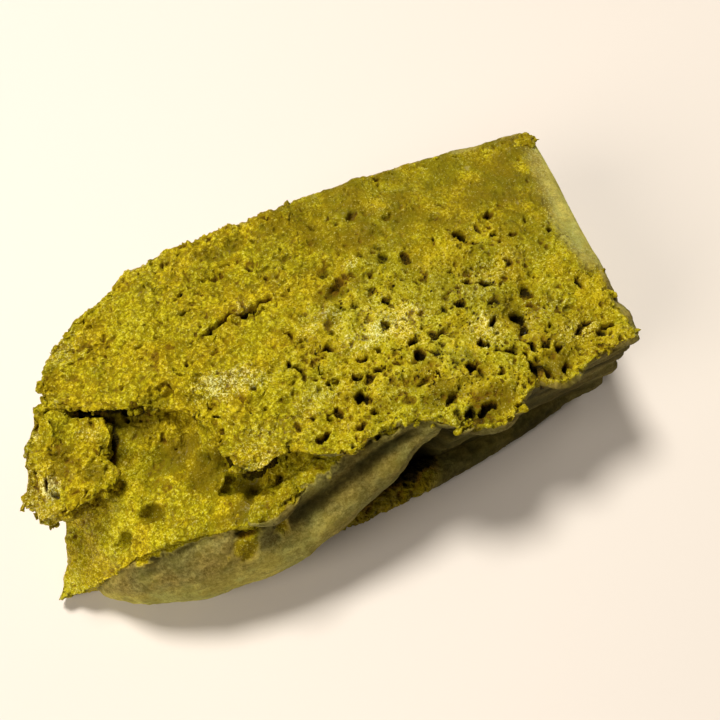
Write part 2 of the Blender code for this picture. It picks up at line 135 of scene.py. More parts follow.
# cavities torn open in the face: x, y, half length, half width, turn, depth
CAVITIES = (
    (32.9, 9.6, 2.1, 1.2, -1.0, 3.2), (41.6, 12.0, 1.1, 0.7, 0.3, 2.2), (51.4, 2.9, 1.3, 1.0, 0.4, 2.4),
    (48.5, 8.2, 0.9, 0.6, 1.3, 1.6), (30.5, 16.1, 1.5, 0.6, -0.3, 1.6), (28.9, -1.3, 1.3, 0.9, 0.9, 3.0),
    (32.1, -3.5, 2.2, 0.8, -0.2, 2.8), (24.9, -5.8, 1.4, 1.1, 0.2, 3.0), (30.3, -8.4, 0.9, 0.7, 0.0, 2.2),
    (34.4, -12.9, 1.8, 1.3, 1.2, 3.6), (39.1, -9.2, 1.4, 0.8, 0.1, 1.8), (29.3, -12.5, 1.5, 0.7, 0.5, 2.2),
    (38.6, -0.4, 1.3, 0.6, -1.2, 2.2), (43.5, 5.2, 1.0, 0.6, 0.2, 1.8), (39.6, -18.2, 0.9, 0.6, 0.8, 2.4),
    (50.0, -22.0, 1.0, 0.6, -0.3, 2.2), (44.8, -20.6, 1.8, 0.7, 0.2, 2.2),
    (17.7, -10.3, 1.7, 0.6, 0.0, 2.4), (12.4, -10.0, 1.7, 0.7, 0.3, 2.2), (12.6, -12.9, 1.6, 1.2, 0.5, 3.6),
    (29.2, -19.8, 1.6, 0.7, -0.9, 2.8), (34.0, -20.6, 1.2, 0.9, -1.0, 3.2),
    (33.0, -25.3, 2.4, 1.4, -1.3, 3.6), (25.6, -22.6, 1.1, 0.7, 0.3, 2.0),
    (20.8, -19.4, 1.6, 1.0, 0.3, 3.2), (38.7, -27.2, 1.8, 0.9, 1.1, 2.8), (39.0, -22.7, 0.9, 0.6, 0.6, 2.0),
    (16.2, -27.9, 2.0, 1.1, 0.5, 3.2), (20.0, -28.5, 2.2, 1.0, -0.1, 3.4),
    (10.2, -18.4, 1.5, 0.6, 0.2, 1.6), (13.8, -23.9, 2.0, 0.9, 0.3, 2.0), (21.9, -20.9, 1.0, 0.7, 0.2, 1.8),
    (-6.1, -11.8, 1.4, 0.9, -0.1, 3.4), (-2.0, -16.5, 2.3, 1.0, -0.6, 3.4),
    (-0.8, -20.0, 1.1, 0.6, -0.5, 2.2), (-8.2, -17.6, 1.6, 0.8, 0.3, 2.2),
    (-4.9, -22.3, 1.5, 0.6, 0.2, 2.0), (-12.2, -21.6, 1.4, 0.7, 0.1, 2.0),
    (-18.3, -20.2, 1.2, 0.8, 0.2, 1.8), (-11.0, -6.4, 1.3, 0.6, -1.0, 3.0),
    (-7.2, -7.3, 1.2, 0.7, -1.1, 2.4), (-4.1, -4.9, 1.4, 0.6, -0.3, 2.0), (1.4, -9.2, 1.2, 0.8, -0.2, 2.8),
    (-0.9, -13.0, 1.0, 0.7, 0.0, 2.4), (5.2, -8.4, 0.8, 0.5, 0.2, 1.8), (3.8, -12.2, 0.9, 0.6, 0.2, 1.8),
    (8.8, -4.4, 1.1, 0.5, 0.0, 1.8), (-9.9, 1.3, 0.9, 0.5, -0.4, 1.4), (5.2, 25.6, 0.5, 1.0, 0.1, 1.6),
    (-3.3, 22.6, 0.7, 0.5, 0.5, 1.4), (-8.8, 17.2, 0.9, 0.6, 0.2, 1.6), (13.9, 24.7, 1.5, 0.9, 0.0, 1.2),
    (21.0, 21.2, 1.5, 0.7, 0.2, 1.2), (33.2, 19.2, 1.1, 0.4, -0.7, 1.2), (-30.2, 23.7, 1.0, 0.6, 0.2, 1.4),
    (-26.5, 16.2, 1.4, 0.6, 0.6, 1.6), (7.4, 10.4, 1.6, 0.8, 0.5, 1.6), (9.8, 4.6, 1.4, 0.8, 0.1, 1.6),
    (-24.6, 4.6, 0.8, 0.5, 0.3, 1.2), (-38.4, 12.4, 0.7, 0.5, 0.1, 1.2), (-44.0, 5.4, 0.8, 0.5, 0.6, 1.2),
    (-33.0, 3.0, 0.9, 0.5, 0.1, 1.0), (-17.0, 22.4, 0.9, 0.6, 0.3, 1.2), (-47.5, 16.6, 0.8, 0.5, 0.9, 1.2))

# cracks across the face: x, y, half width, depth along each
CRACKS = (
    ((-28.6, 8.6, 0.2, 0.6), (-24.7, 9.5, 0.4, 1.8), (-20.5, 10.5, 0.5, 2.4), (-18.5, 11.1, 0.5, 2.4),
     (-13.9, 10.1, 0.6, 2.4), (-12.1, 11.4, 0.8, 2.4), (-8.6, 11.7, 0.6, 2.0), (-5.0, 11.9, 0.4, 1.2)),
    ((-1.2, 7.4, 0.6, 1.0), (1.8, 8.4, 0.8, 1.4), (4.3, 9.3, 0.9, 1.6), (8.6, 10.9, 0.8, 1.6)),
    ((-9.6, 18.2, 0.6, 0.9), (-5.6, 19.2, 1.0, 1.1), (-2.3, 20.2, 0.7, 0.9)))

# dark patches: x, y, half length, half width, turn, strength. On the face they are moist crumb.
STAINS = (
    (-17.6, 28.1, 3.4, 2.4, 0.1, 1.0), (-11.6, 28.6, 3.0, 2.2, 0.2, 1.1), (-5.6, 28.8, 4.0, 2.2, 0.3, 1.2),
    (-0.6, 29.6, 3.6, 1.8, 0.2, 1.0), (4.4, 28.2, 2.4, 1.6, 0.2, 1.0), (-26.0, 16.3, 3.0, 1.2, 0.5, 0.6),
    (9.0, 8.0, 4.0, 2.2, 0.5, 0.9), (30.0, 20.0, 19.0, 4.8, 0.1, 1.15), (13.5, 18.0, 6.0, 3.6, 0.3, 1.0),
    (45.0, 24.0, 15.0, 6.0, 0.1, 0.8), (-2.0, 2.5, 5.0, 2.2, -0.1, 0.8), (14.0, -1.0, 4.0, 1.6, 0.2, 0.4),
    (30.0, -12.0, 7.0, 2.6, -0.5, 0.7), (42.0, -7.0, 6.0, 2.6, 0.2, 0.5), (20.0, -22.0, 9.0, 3.4, 0.2, 0.8),
    (39.0, 9.0, 7.0, 4.0, 0.2, 0.7), (-47.0, 9.0, 11.0, 2.2, -0.5, 0.4), (56.0, 27.5, 9.0, 6.0, 0.0, 1.2),
    (9.0, -17.0, 9.0, 3.0, 0.3, 0.8), (-4.0, -15.0, 6.0, 2.0, 0.2, 0.7), (-18.0, -17.0, 3.5, 1.8, 0.4, 0.3),
    (36.0, -26.0, 7.5, 4.0, 0.2, 1.3), (12.0, -22.0, 5.0, 3.4, 0.2, 1.2), (50.0, -21.0, 5.0, 3.0, 0.2, 0.3),
    (52.0, 13.0, 3.4, 2.0, 0.4, 0.6), (34.0, -12.5, 3.6, 4.4, 0.1, 1.3), (2.0, 8.0, 6.0, 3.0, 0.4, 1.2),
    (16.2, 23.0, 6.0, 3.4, 0.2, 1.1), (31.0, 29.0, 12.0, 3.0, 0.0, 0.8), (52.0, 3.0, 3.0, 3.0, 0.3, 0.6),
    (20.0, -28.0, 6.6, 4.0, 0.2, 1.5), (-51.5, 6.5, 5.0, 2.8, -0.4, 1.0), (-44.0, 4.5, 6.0, 2.8, -0.4, 1.0),
    (30.0, -2.0, 4.0, 2.6, 0.0, 0.7), (33.0, 9.0, 4.6, 3.4, 0.0, 0.9), (2.0, -20.5, 3.5, 2.0, 0.2, 0.8),
    (20.5, -17.0, 3.5, 2.2, 0.2, 0.7), (8.0, 4.0, 4.0, 2.0, 0.2, 0.7))
# on the ledge mostly painted shade: below the torn rim and the lip, beside the flap, and on slopes that face
# away from the light
LEDGE_STAINS = (
    (-38.8, -8.6, 6.5, 3.2, 0.1, 1.4), (-28.4, -19.6, 4.6, 2.8, 0.1, 1.5),
    (-48.5, -3.0, 2.2, 5.0, -0.3, 0.8), (-47.1, -18.4, 3.6, 2.4, -0.2, 1.5),
    (-54.5, -20.0, 2.8, 1.8, -0.2, 1.2), (-55.5, -10.5, 5.0, 1.4, 0.2, 0.4),
    (-34.6, -14.4, 4.4, 4.2, 0.3, 1.5), (-31.0, -25.5, 5.0, 3.0, 0.2, 1.7),
    (-38.0, -26.0, 6.0, 2.0, 0.1, 0.8), (-42.0, -8.0, 6.0, 3.0, 0.1, 0.8),
    (-45.0, -1.5, 4.0, 3.0, -0.4, 0.9))
# on the flap moist crumb, with painted shade along its lower right edge
FLAP_STAINS = ((-58.6, -0.6, 3.4, 1.6, 0.1, 1.4), (-59.5, -4.5, 3.2, 2.6, 0.3, 0.8),
               (-55.0, -7.4, 3.2, 1.6, -0.3, 1.0))

# patches painted lighter and with many painted glints, where the light glances off the moist crumb, as the
# patches
PALE = (
    (-24.4, -3.6, 9.5, 4.2, -0.15, 1.0), (9.0, -4.0, 12.0, 4.4, 0.1, 0.9), (-3.0, 1.0, 7.0, 2.6, 0.1, 0.6),
    (-24.5, -17.0, 6.0, 3.8, 0.2, 0.45), (33.0, -3.0, 9.0, 4.0, 0.3, 0.4),
    (-10.0, -14.0, 7.0, 4.0, 0.3, 0.5), (40.0, -14.0, 8.0, 3.5, 0.2, 0.35),
    (26.5, -13.5, 4.5, 5.0, 0.2, 0.7), (8.5, 12.9, 3.0, 1.8, 0.2, 0.8), (8.3, 2.0, 3.6, 2.2, 0.2, 0.4),
    (-15.5, 11.5, 2.6, 1.6, 0.2, 0.7), (-52.0, 20.0, 6.0, 5.0, 0.2, 0.5), (44.4, -21.0, 6.0, 3.0, 0.1, 0.6),
    (12.6, -8.0, 3.0, 4.0, 0.1, 0.6), (-24.0, -21.0, 5.0, 2.6, 0.1, 0.7))
# on the flap a painted glint spot and a painted lighter patch
FLAP_PALE = ((-62.8, -6.8, 2.6, 2.0, 0.4, 1.2), (-52.6, 1.0, 3.4, 1.8, -0.4, 0.5))

# where the torn rim sinks to meet the ledge, as the patches with a depth
RIM_DROOP = ((-35.6, -3.4, 7.0, 3.8, -0.75, 3.2), (-30.6, -11.5, 3.4, 6.5, 0.1, 2.4))

# painted shadow in the gaps along the foot of the torn wall and beside the flap, as the patches
LEDGE_PAINTED_SHADOWS = (
    (-45.5, 3.8, 10.0, 1.7, -0.47, 1.2), (-49.6, -1.6, 5.6, 1.1, 1.16, 0.95),
    (-37.0, 0.4, 6.0, 1.5, -0.45, 1.1), (-27.6, -19.6, 6.0, 2.2, 0.1, 0.25),
    (-25.3, -25.0, 1.5, 1.0, 0.3, 1.2), (-22.3, -23.4, 1.6, 1.1, 0.2, 1.2))

# soft pits of the ledge, as the cavities
PITS = ((-47.1, -17.8, 3.2, 1.9, -0.2, 3.4), (-54.5, -19.6, 2.4, 1.5, -0.2, 3.0),
        (-25.3, -25.0, 1.5, 1.0, 0.3, 2.6), (-22.3, -23.4, 1.6, 1.1, 0.2, 2.6))

# worn spots of the fold where crumb shows, and the gap under the flake with its painted shadow, as the
# patches
SCARS = (
    (-32.8, -31.2, 4.2, 2.5, 0.0, 1.3), (-25.4, -31.5, 1.8, 1.6, 0.3, 1.0),
    (-52.0, -28.5, 0.7, 0.7, 0.0, 0.8), (-37.0, -32.0, 0.6, 0.7, 0.0, 0.8))
FOLD_GAP = ((-29.6, -28.9, 5.0, 2.2, 0.1, 1.1),)

# lumps half torn off: x, y, z, their half sizes, and how much of the front is skin
LUMPS = (
    (-56.9, 11.6, 25.6, 3.0, 3.2, 4.0, 0.0), (-59.4, 10.6, 24.4, 2.2, 2.4, 2.8, 0.0),
    (-55.9, 8.8, 26.2, 2.8, 2.4, 2.8, 0.0), (-59.0, 7.6, 24.6, 2.5, 2.6, 3.0, 0.0),
    (-67.4, -6.0, 22.4, 2.0, 2.0, 2.2, 0.0), (-25.2, -27.6, 27.0, 6.2, 3.6, 2.4, 1.0),
    (54.0, -25.2, 31.6, 2.4, 1.8, 1.3, 0.6), (50.2, -26.0, 31.0, 3.0, 1.6, 1.4, 0.8),
    (56.0, -10.8, 32.4, 1.2, 2.2, 1.3, 0.0), (55.7, -15.6, 32.4, 1.4, 2.0, 1.4, 0.0),
    (55.4, -20.2, 32.0, 1.6, 2.0, 1.6, 0.0), (59.8, 28.4, 32.3, 4.4, 1.7, 1.0, 0.0),
    (38.6, -28.6, 31.8, 2.4, 1.3, 1.2, 0.5), (24.2, -31.0, 31.9, 2.4, 1.3, 1.2, 0.5),
    (13.8, -29.6, 31.8, 2.4, 1.3, 1.2, 0.5), (-28.6, -19.8, 32.0, 2.6, 1.8, 1.5, 0.0),
    (-58.2, 14.2, 28.0, 1.8, 2.0, 2.2, 0.0), (-39.4, -0.8, 30.8, 1.3, 0.9, 1.0, 0.0))

# torn edges that shed small crumbs: the edge, its form, how far below it, and crumbs along it
SHEDDING = ((SLAB_FRONT, "slab", 1.2, 16), (SLAB_BACK[:-1], "slab", 1.0, 44), (SLAB_LEFT, "slab", 3.0, 30),
            (FLAP_FRONT, "flap", 5.0, 18))
CRUMB_SIZES = (0.3, 0.9)

# stage: the camera's places in millimetres, and the room's light
CAMERA_AT = (-35.7, -89.6, 188.3)
CAMERA_TARGET = (9.0, 8.5, 0.0)
CAMERA_LENS = 45.0
ROOM_COLOUR = (1.0, 0.90, 0.74, 1.0)
ROOM_STRENGTH = 0.08

# lamps, in metres: name, direction seen from the cake, size, watts and colour
LAMP_DISTANCE = 1.2
LAMPS = (("key", (-3.5, 13.3, 33.0), 0.35, 16.0, (1.0, 0.95, 0.82)),
         ("fill", (-30.0, -9.0, 20.0), 0.70, 9.5, (1.0, 0.92, 0.76)),
         ("bounce", (34.0, 12.0, 14.0), 0.70, 2.4, (1.0, 0.94, 0.80)))


# ---------------------------------------------------------------- forms

def fade(low, high, value):
    """0 at low and 1 at high, with an s-shaped change between. High may be the lower of the two."""
    t = np.clip((np.asarray(value, float) - low) / (high - low), 0.0, 1.0)
    return t * t * (3.0 - 2.0 * t)


def curve(points, t):
    """A cubic through the points, spaced by distance, at parameters t from 0 to 1."""
    points = np.asarray(points, float)
    steps = np.linalg.norm(np.diff(points, axis=0), axis=1)
    knots = np.concatenate(([0.0], np.cumsum(steps))) / steps.sum()
    slopes = np.gradient(points, knots, axis=0)
    cell = np.clip(np.searchsorted(knots, t, side="right") - 1, 0, len(points) - 2)
    width = (knots[cell + 1] - knots[cell])[:, None]
    s = (np.asarray(t, float)[:, None] - knots[cell][:, None]) / width
    start = (1 + 2 * s) * (1 - s) ** 2 * points[cell] + s * (1 - s) ** 2 * width * slopes[cell]
    end = s * s * (3 - 2 * s) * points[cell + 1] + s * s * (s - 1) * width * slopes[cell + 1]
    return start + end


def patch(front, back, left, right, across, along):
    """A four-sided Coons patch: each grid point blends the four edge curves."""
    u = np.linspace(0.0, 1.0, across + 1)
    v = np.linspace(0.0, 1.0, along + 1)
    low, high = curve(front, u)[:, None], curve(back, u)[:, None]
    near, far = curve(left, v)[None], curve(right, v)[None]
    u, v = u[:, None, None], v[None, :, None]
    corners = ((1 - u) * ((1 - v) * low[:1] + v * high[:1]) + u * ((1 - v) * low[-1:] + v * high[-1:]))
    return (1 - v) * low + v * high + (1 - u) * near + u * far - corners


def cell_value(cell, seed):
    """A fixed random number from 0 to 1 for each whole-number cell."""
    key = (cell * CELL_PRIMES).sum(axis=-1) + (SEED + seed) * 9176
    key = (key ^ (key >> 13)) * 1274126177 & 0x7FFFFFFF
    key = (key ^ (key >> 11)) * 668265263 & 0x7FFFFFFF
    return ((key >> 7) & 0xFFFF) / 0xFFFF


def noise(points, size, seed):
    """Smooth lumps from -1 to 1, one for each cell of the given size."""
    place = np.asarray(points, float) / size
    cell = np.floor(place).astype(np.int64)
    part = place - cell
    part = part * part * (3.0 - 2.0 * part)
    total = np.zeros(place.shape[:-1])
    for corner in np.ndindex(2, 2, 2):
        weight = np.prod(np.where(corner, part, 1.0 - part), axis=-1)
        total += weight * cell_value(cell + corner, seed)
    return 2.0 * total - 1.0


def shake(points, size, seed):
    """A smooth random direction for each point, each part from -1 to 1."""
    return np.stack([noise(points, size, seed + axis) for axis in range(3)], axis=1)


def level(x, y):
    """Points at height 0."""
    return np.stack((x, y, np.zeros_like(x)), axis=-1)


def quarter_round(drop, radius):
    """How far a rounded edge has swung out, from 0 at the rim to 1 where it stands upright."""
    return np.sqrt(1.0 - np.clip(1.0 - drop / radius, 0.0, 1.0) ** 2)


def foot_inset(height, radius):
    """How far a wall draws in above the flat underside, as a quarter round."""
    return radius * (1.0 - quarter_round(height, radius))


def slab_face(x, y):
    """Height of the torn face: a low crown, a fall to the left and broad lumps."""
    crown = CROWN * np.cos(np.clip(y / 34.0, -1.0, 1.0) * np.pi / 2.0)
    fall = LEFT_FALL * fade(-28.0, -58.0, x)
    spot = level(x, y)
    return FACE_Z + crown - fall + 0.7 * noise(spot, 15.0, 0) + 0.4 * noise(spot, 6.0, 1)


def slab_row(rim, row):
    """Side of the slab: shoulder at +X, small round at +Y, lean and recess at -Y."""
    x, y, top = rim.T
    height = top * (1.0 - row)
    drop = top - height
    foot = foot_inset(height, FOOT_ROUND)
    shoulder = SHOULDER_OUT * fade(-34.0, -8.0, y) * quarter_round(drop, SHOULDER_DOWN)
    edge = BACK_ROUND * quarter_round(drop, BACK_ROUND)
    recess = fade(RECESS_X[0], RECESS_X[0] + 8.0, x) * fade(RECESS_X[1], RECESS_X[1] - 8.0, x)
    hollow = np.maximum(recess * RECESS_DEPTH * fade(0.0, 12.0, drop), FRONT_LEAN * drop / FACE_Z)
    crag = 0.9 * noise(np.column_stack((x, y, height)), 6.0, 2) * np.sin(np.pi * row)
    torn = fade(-60.0, -54.0, x) * fade(-15.0, -18.0, x) * fade(11.0, 6.0, y)
    shut = fade(-44.0, -38.0, x) * fade(-14.0, -9.0, y)
    beneath = fade(0.3, 2.2, drop) * fade(9.0, 4.0, drop)
    undercut = UNDERCUT * beneath * torn * (1.0 - 0.9 * shut)
    shift_x = fade(5.0, 58.0, x) * (shoulder - foot) + fade(-15.0, -55.0, x) * (TORN_LEAN * row + crag)
    shift_y = fade(0.0, 28.0, y) * (edge - foot) + fade(0.0, -26.0, y) * hollow
    wall = WALL_Y[0] + (WALL_Y[1] - WALL_Y[0]) * (x - 8.0) / 46.0
    smooth = fade(0.5, 11.0, drop) * fade(-22.0, -26.0, y) * fade(2.0, 10.0, x)
    return np.column_stack((x + shift_x, y + shift_y + undercut + smooth * (wall - y), height))


def behind_wall(x, y):
    """Distance behind the line of the torn wall over the ledge; negative in front of it."""
    return (12.6 * (x + 59.0) + 26.0 * (y - 8.0)) / 28.9


def ledge_face(x, y):
    """Height of the ledge: up from the front left corner to a hump, then on to the slab."""
    climb = fade(-74.0, -46.0, x + 0.35 * (y + 19.0))
    shelf = fade(-38.0, -18.0, x) * fade(-8.0, -20.0, y)
    spot = level(x, y)
    behind = behind_wall(x, y)
    valley = 1.2 * fade(-16.0, -11.0, behind) * fade(-5.0, -9.0, behind)
    bank = BANK * fade(-9.0, -1.0, behind) * fade(-57.0, -47.0, x) * fade(-9.0, -3.0, y)
    ramp = RAMP * fade(-37.0, -30.5, x) * fade(-17.0, -10.0, y)
    aside = (x + 1.6 * noise(spot, 2.6, 55) - LIP_CAVITY[0]) / LIP_CAVITY[2]
    beyond = (y + 1.2 * noise(spot, 2.2, 56) - LIP_CAVITY[1]) / LIP_CAVITY[3]
    cavity = LIP_CAVITY[4] * np.clip(1.0 - aside ** 2 - beyond ** 2, 0.0, 1.0)
    rise = CORNER_Z + (HUMP_Z - CORNER_Z) * climb + (SHELF_Z - HUMP_Z) * shelf
    return rise + (np.maximum(bank, ramp) - valley) * climb - cavity + 0.7 * noise(spot, 8.0, 3)


def ledge_row(rim, row):
    """Side of the ledge, nearly upright, with torn lumps and a rounded foot."""
    x, y, top = rim.T
    height = LIFT + (top - LIFT) * (1.0 - row)
    lumps = 0.8 * noise(np.column_stack((x, y, height)), 7.0, 4) * np.sin(np.pi * row)
    shift = lumps + foot_inset(height, 2.0)
    return np.column_stack((x + shift * fade(-40.0, -62.0, x), y + 2.0 * row, height))


def flap_face(x, y):
    """Height of the flap, a lumpy plane that falls towards the front."""
    plane = FLAP_Z[0] + (FLAP_Z[1] - FLAP_Z[0]) * fade(-12.0, 8.0, y)
    return plane + 0.9 * noise(level(x, y), 5.0, 5)


def flap_row(rim, row):
    """Side of the flap: it swells below its rim and draws in towards its base."""
    height = FLAP_BASE_Z + (rim[:, 2] - FLAP_BASE_Z) * (1.0 - row)
    swell = FLAP_SWELL * np.sin(np.pi * min(row * 1.6, 1.0)) - FLAP_DRAW_IN * row * row
    spread = 1.0 + swell / 10.0 + 0.08 * noise(rim + (0.0, 0.0, 9.0 * row), 4.0, 6)
    return np.column_stack((FLAP_MIDDLE + (rim[:, :2] - FLAP_MIDDLE) * spread[:, None], height))


# ---------------------------------------------------------------- fine surfaces

def cell_counts(span, step):
    """Whole numbers of cells along the lengths of a span."""
    return tuple(int(length / step) for length in span)


class Surface:
    """A closed grid surface: its points, faces, and values that belong to each point."""

    def __init__(self, points, quads, triangles):
        self.points = points
        self.quads = quads
        self.triangles = triangles
        self.values = {}

    def normals(self):
        """Outward directions at the points, from the areas of the faces around them."""
        corners = np.concatenate((self.quads, self.triangles[:, (0, 1, 2, 2)]))
        place = self.points[corners]
        area = np.cross(place[:, 2] - place[:, 0], place[:, 3] - place[:, 1])
        flat = np.cross(place[:, 1] - place[:, 0], place[:, 2] - place[:, 0])
        area[len(self.quads):] = flat[len(self.quads):]
        total = np.stack([np.bincount(corners.ravel(), np.repeat(area[:, axis], 4), len(self.points))
                          for axis in range(3)], axis=1)
        return total / np.maximum(np.linalg.norm(total, axis=1), 1e-12)[:, None]

    def keep(self, **layers):
        """Store values for the finish, each a number or one number a point."""
        nothing = np.zeros(len(self.points))
        self.values.update({key: value + nothing for key, value in layers.items()})


def closed_block(edges, cells, height, rows, place_row, span=(0.0, 1.0)):
    """A block: a grid lifted by its height function, rows down its sides, a fan below.

    The fan's rings shrink the last row towards its middle. 'row' is 0 on the top grid and grows
    to 1 at the foot. 'span' keeps a part of the grid, as shares of its length.
    """
    first, last = (round(share * cells[0]) for share in span)
    plan = patch(*edges, *cells)[first:last + 1]
    top = np.concatenate((plan, height(plan[..., 0], plan[..., 1])[..., None]), axis=-1)
    index = np.arange(top[..., 0].size).reshape(top.shape[:2])
    column = np.broadcast_to(np.linspace(*span, len(plan))[:, None], index.shape)
    loop = np.concatenate((index[:, 0], index[-1, 1:], index[-2::-1, -1], index[0, -2:0:-1]))
    rim = top.reshape(-1, 3)[loop]
    quads = [np.stack((index[:-1, :-1], index[1:, :-1], index[1:, 1:], index[:-1, 1:]), -1).reshape(-1, 4)]
    foot = place_row(rim, 1.0)
    middle = foot.mean(axis=0)
    rings = [place_row(rim, row) for row in rows] + [middle + (foot - middle) * s for s in (0.85, 0.5)]
    upper = loop
    for number in range(len(rings)):
        lower = np.arange(len(loop)) + index.size + number * len(loop)
        quads.append(np.stack((upper, lower, np.roll(lower, -1), np.roll(upper, -1)), axis=1))
        upper = lower
    pole = np.full(len(loop), index.size + len(rings) * len(loop))
    surface = Surface(np.concatenate([top.reshape(-1, 3)] + rings + [middle[None]]), np.concatenate(quads),
                      np.stack((pole, np.roll(upper, -1), upper), axis=1))
    rim_z = [top[..., 2].ravel(), np.tile(rim[:, 2], len(rings)), middle[2:]]
    columns = [column.ravel(), np.tile(column.ravel()[loop], len(rings)), [0.5]]
    surface.keep(rim_z=np.concatenate(rim_z), column=np.concatenate(columns))
    return surface


def closed_roll(path, out, up, stations, sides, cap):
    """A roll: ellipses of half sizes out and up along a path, rounded off over its two ends.

    'turn' is 0 where the surface faces out, 90 degrees on top and -90 underneath.
    """
    t = 0.5 - 0.5 * np.cos(np.linspace(0.02, np.pi - 0.02, stations))
    t = 0.5 * t + 0.5 * np.linspace(t[0], t[-1], stations)
    centre = curve(path, t)
    ahead = np.gradient(centre, axis=0)
    ahead /= np.linalg.norm(ahead[:, :2], axis=1)[:, None]
    outward = np.stack((ahead[:, 1], -ahead[:, 0], np.zeros(stations)), axis=1)
    marks = np.linspace(0.0, 1.0, len(path))
    rounding = quarter_round(np.minimum(t, 1.0 - t), cap)
    out = (np.interp(t, marks, np.broadcast_to(out, len(path))) * rounding)[:, None, None]
    up = (np.interp(t, marks, np.broadcast_to(up, len(path))) * rounding)[:, None, None]
    down = np.minimum(up, centre[:, None, 2:] - LIFT)
    turn = np.linspace(-np.pi, np.pi, sides, endpoint=False)[None, :, None]
    rise = np.where(np.sin(turn) > 0.0, up, down) * np.sin(turn)
    rings = centre[:, None] + out * np.cos(turn) * outward[:, None] + rise * np.array((0.0, 0.0, 1.0))
    index = np.arange(stations * sides).reshape(stations, sides)
    turned = np.roll(index, -1, axis=1)
    quads = np.stack((index[1:], turned[1:], turned[:-1], index[:-1]), axis=-1).reshape(-1, 4)
    first, last = stations * sides, stations * sides + 1
    triangles = np.concatenate((
        np.stack((np.full(sides, first), index[0], turned[0]), axis=1),
        np.stack((np.full(sides, last), turned[-1], index[-1]), axis=1)))
    surface = Surface(np.concatenate((rings.reshape(-1, 3), centre[:1], centre[-1:])), quads, triangles)
    angle = np.broadcast_to(turn[..., 0], (stations, sides)).ravel()
    surface.keep(turn=np.degrees(np.concatenate((angle, (0.0, 0.0)))),
                 along=np.concatenate((np.repeat(t, sides), (0.0, 1.0))))
    return surface


def bubbles(points, normals, size, share, seed):
    """How far each point sinks along its normal to the far wall of the bubble that it lies in.

    Space is divided into cells of the given size. A share of the cells, which may vary from
    place to place, holds one ball of random place and radius, never wider than its cell. A point
    inside a ball sinks by a + sqrt(a * a + r * r - d * d), where d is its distance from the
    ball's centre and a the part of that along the normal.
    """
    place = points / size
    home = np.floor(place - 0.5).astype(np.int64)
    sink = np.zeros(len(points))
    for corner in np.ndindex(2, 2, 2):
        cell = home + corner
        centre = np.stack([cell[:, axis] + cell_value(cell, seed + axis) for axis in range(3)], axis=1)
        radius = 0.30 + 0.20 * cell_value(cell, seed + 3)
        away = place - centre
        beside = (away * normals).sum(axis=1)
        room = radius ** 2 - (away ** 2).sum(axis=1)
        held = (room > 0.0) & (cell_value(cell, seed + 4) < share)
        reach = beside + np.sqrt(np.maximum(beside ** 2 + room, 0.0))
        sink = np.maximum(sink, np.where(held, reach, 0.0))
    return sink * size


def grains(points, size, seed):
    """Rounded grains packed side by side: 1 on top of a grain, 0 in the clefts between them.

    The value is 1 less the squared distance to the nearest of points jittered about the middles
    of cells of the given size.
    """
    place = points / size
    home = np.floor(place - 0.5).astype(np.int64)
    nearest = np.full(len(points), 9.0)
    for corner in np.ndindex(2, 2, 2):
        cell = home + corner
        jitter = np.stack([cell_value(cell, seed + axis) for axis in range(3)], axis=1)
        centre = cell + 0.15 + 0.7 * jitter
        nearest = np.minimum(nearest, ((place - centre) ** 2).sum(axis=1))
    return 1.0 - np.clip(nearest / 0.6, 0.0, 1.0)


def ovals(points, table, power):
    """The largest of a table's ovals at each point: strength * (1 - distance squared) ** power."""
    total = np.zeros(len(points))
    for x, y, length, width, turn, strength in table:
        aside = points[:, :2] - (x, y)
        along = aside[:, 0] * math.cos(turn) + aside[:, 1] * math.sin(turn)
        across = aside[:, 1] * math.cos(turn) - aside[:, 0] * math.sin(turn)
        room = np.maximum(1.0 - (along / length) ** 2 - (across / width) ** 2, 0.0)
        total = np.maximum(total, strength * room ** power)
    return total


def crack_depth(points, cracks):
    """Depth of the cracks: half round grooves along polylines of changing width."""
    total = np.zeros(len(points))
    for crack in cracks:
        for start, end in zip(crack[:-1], crack[1:]):
            start, end = np.array(start), np.array(end)
            run = end[:2] - start[:2]
            t = np.clip(((points[:, :2] - start[:2]) @ run) / (run @ run), 0.0, 1.0)
            here = start + t[:, None] * (end - start)
            aside = np.linalg.norm(points[:, :2] - here[:, :2], axis=1)
            room = np.maximum(1.0 - (aside / here[:, 2]) ** 2, 0.0)
            total = np.maximum(total, here[:, 3] * np.sqrt(room))
    return total


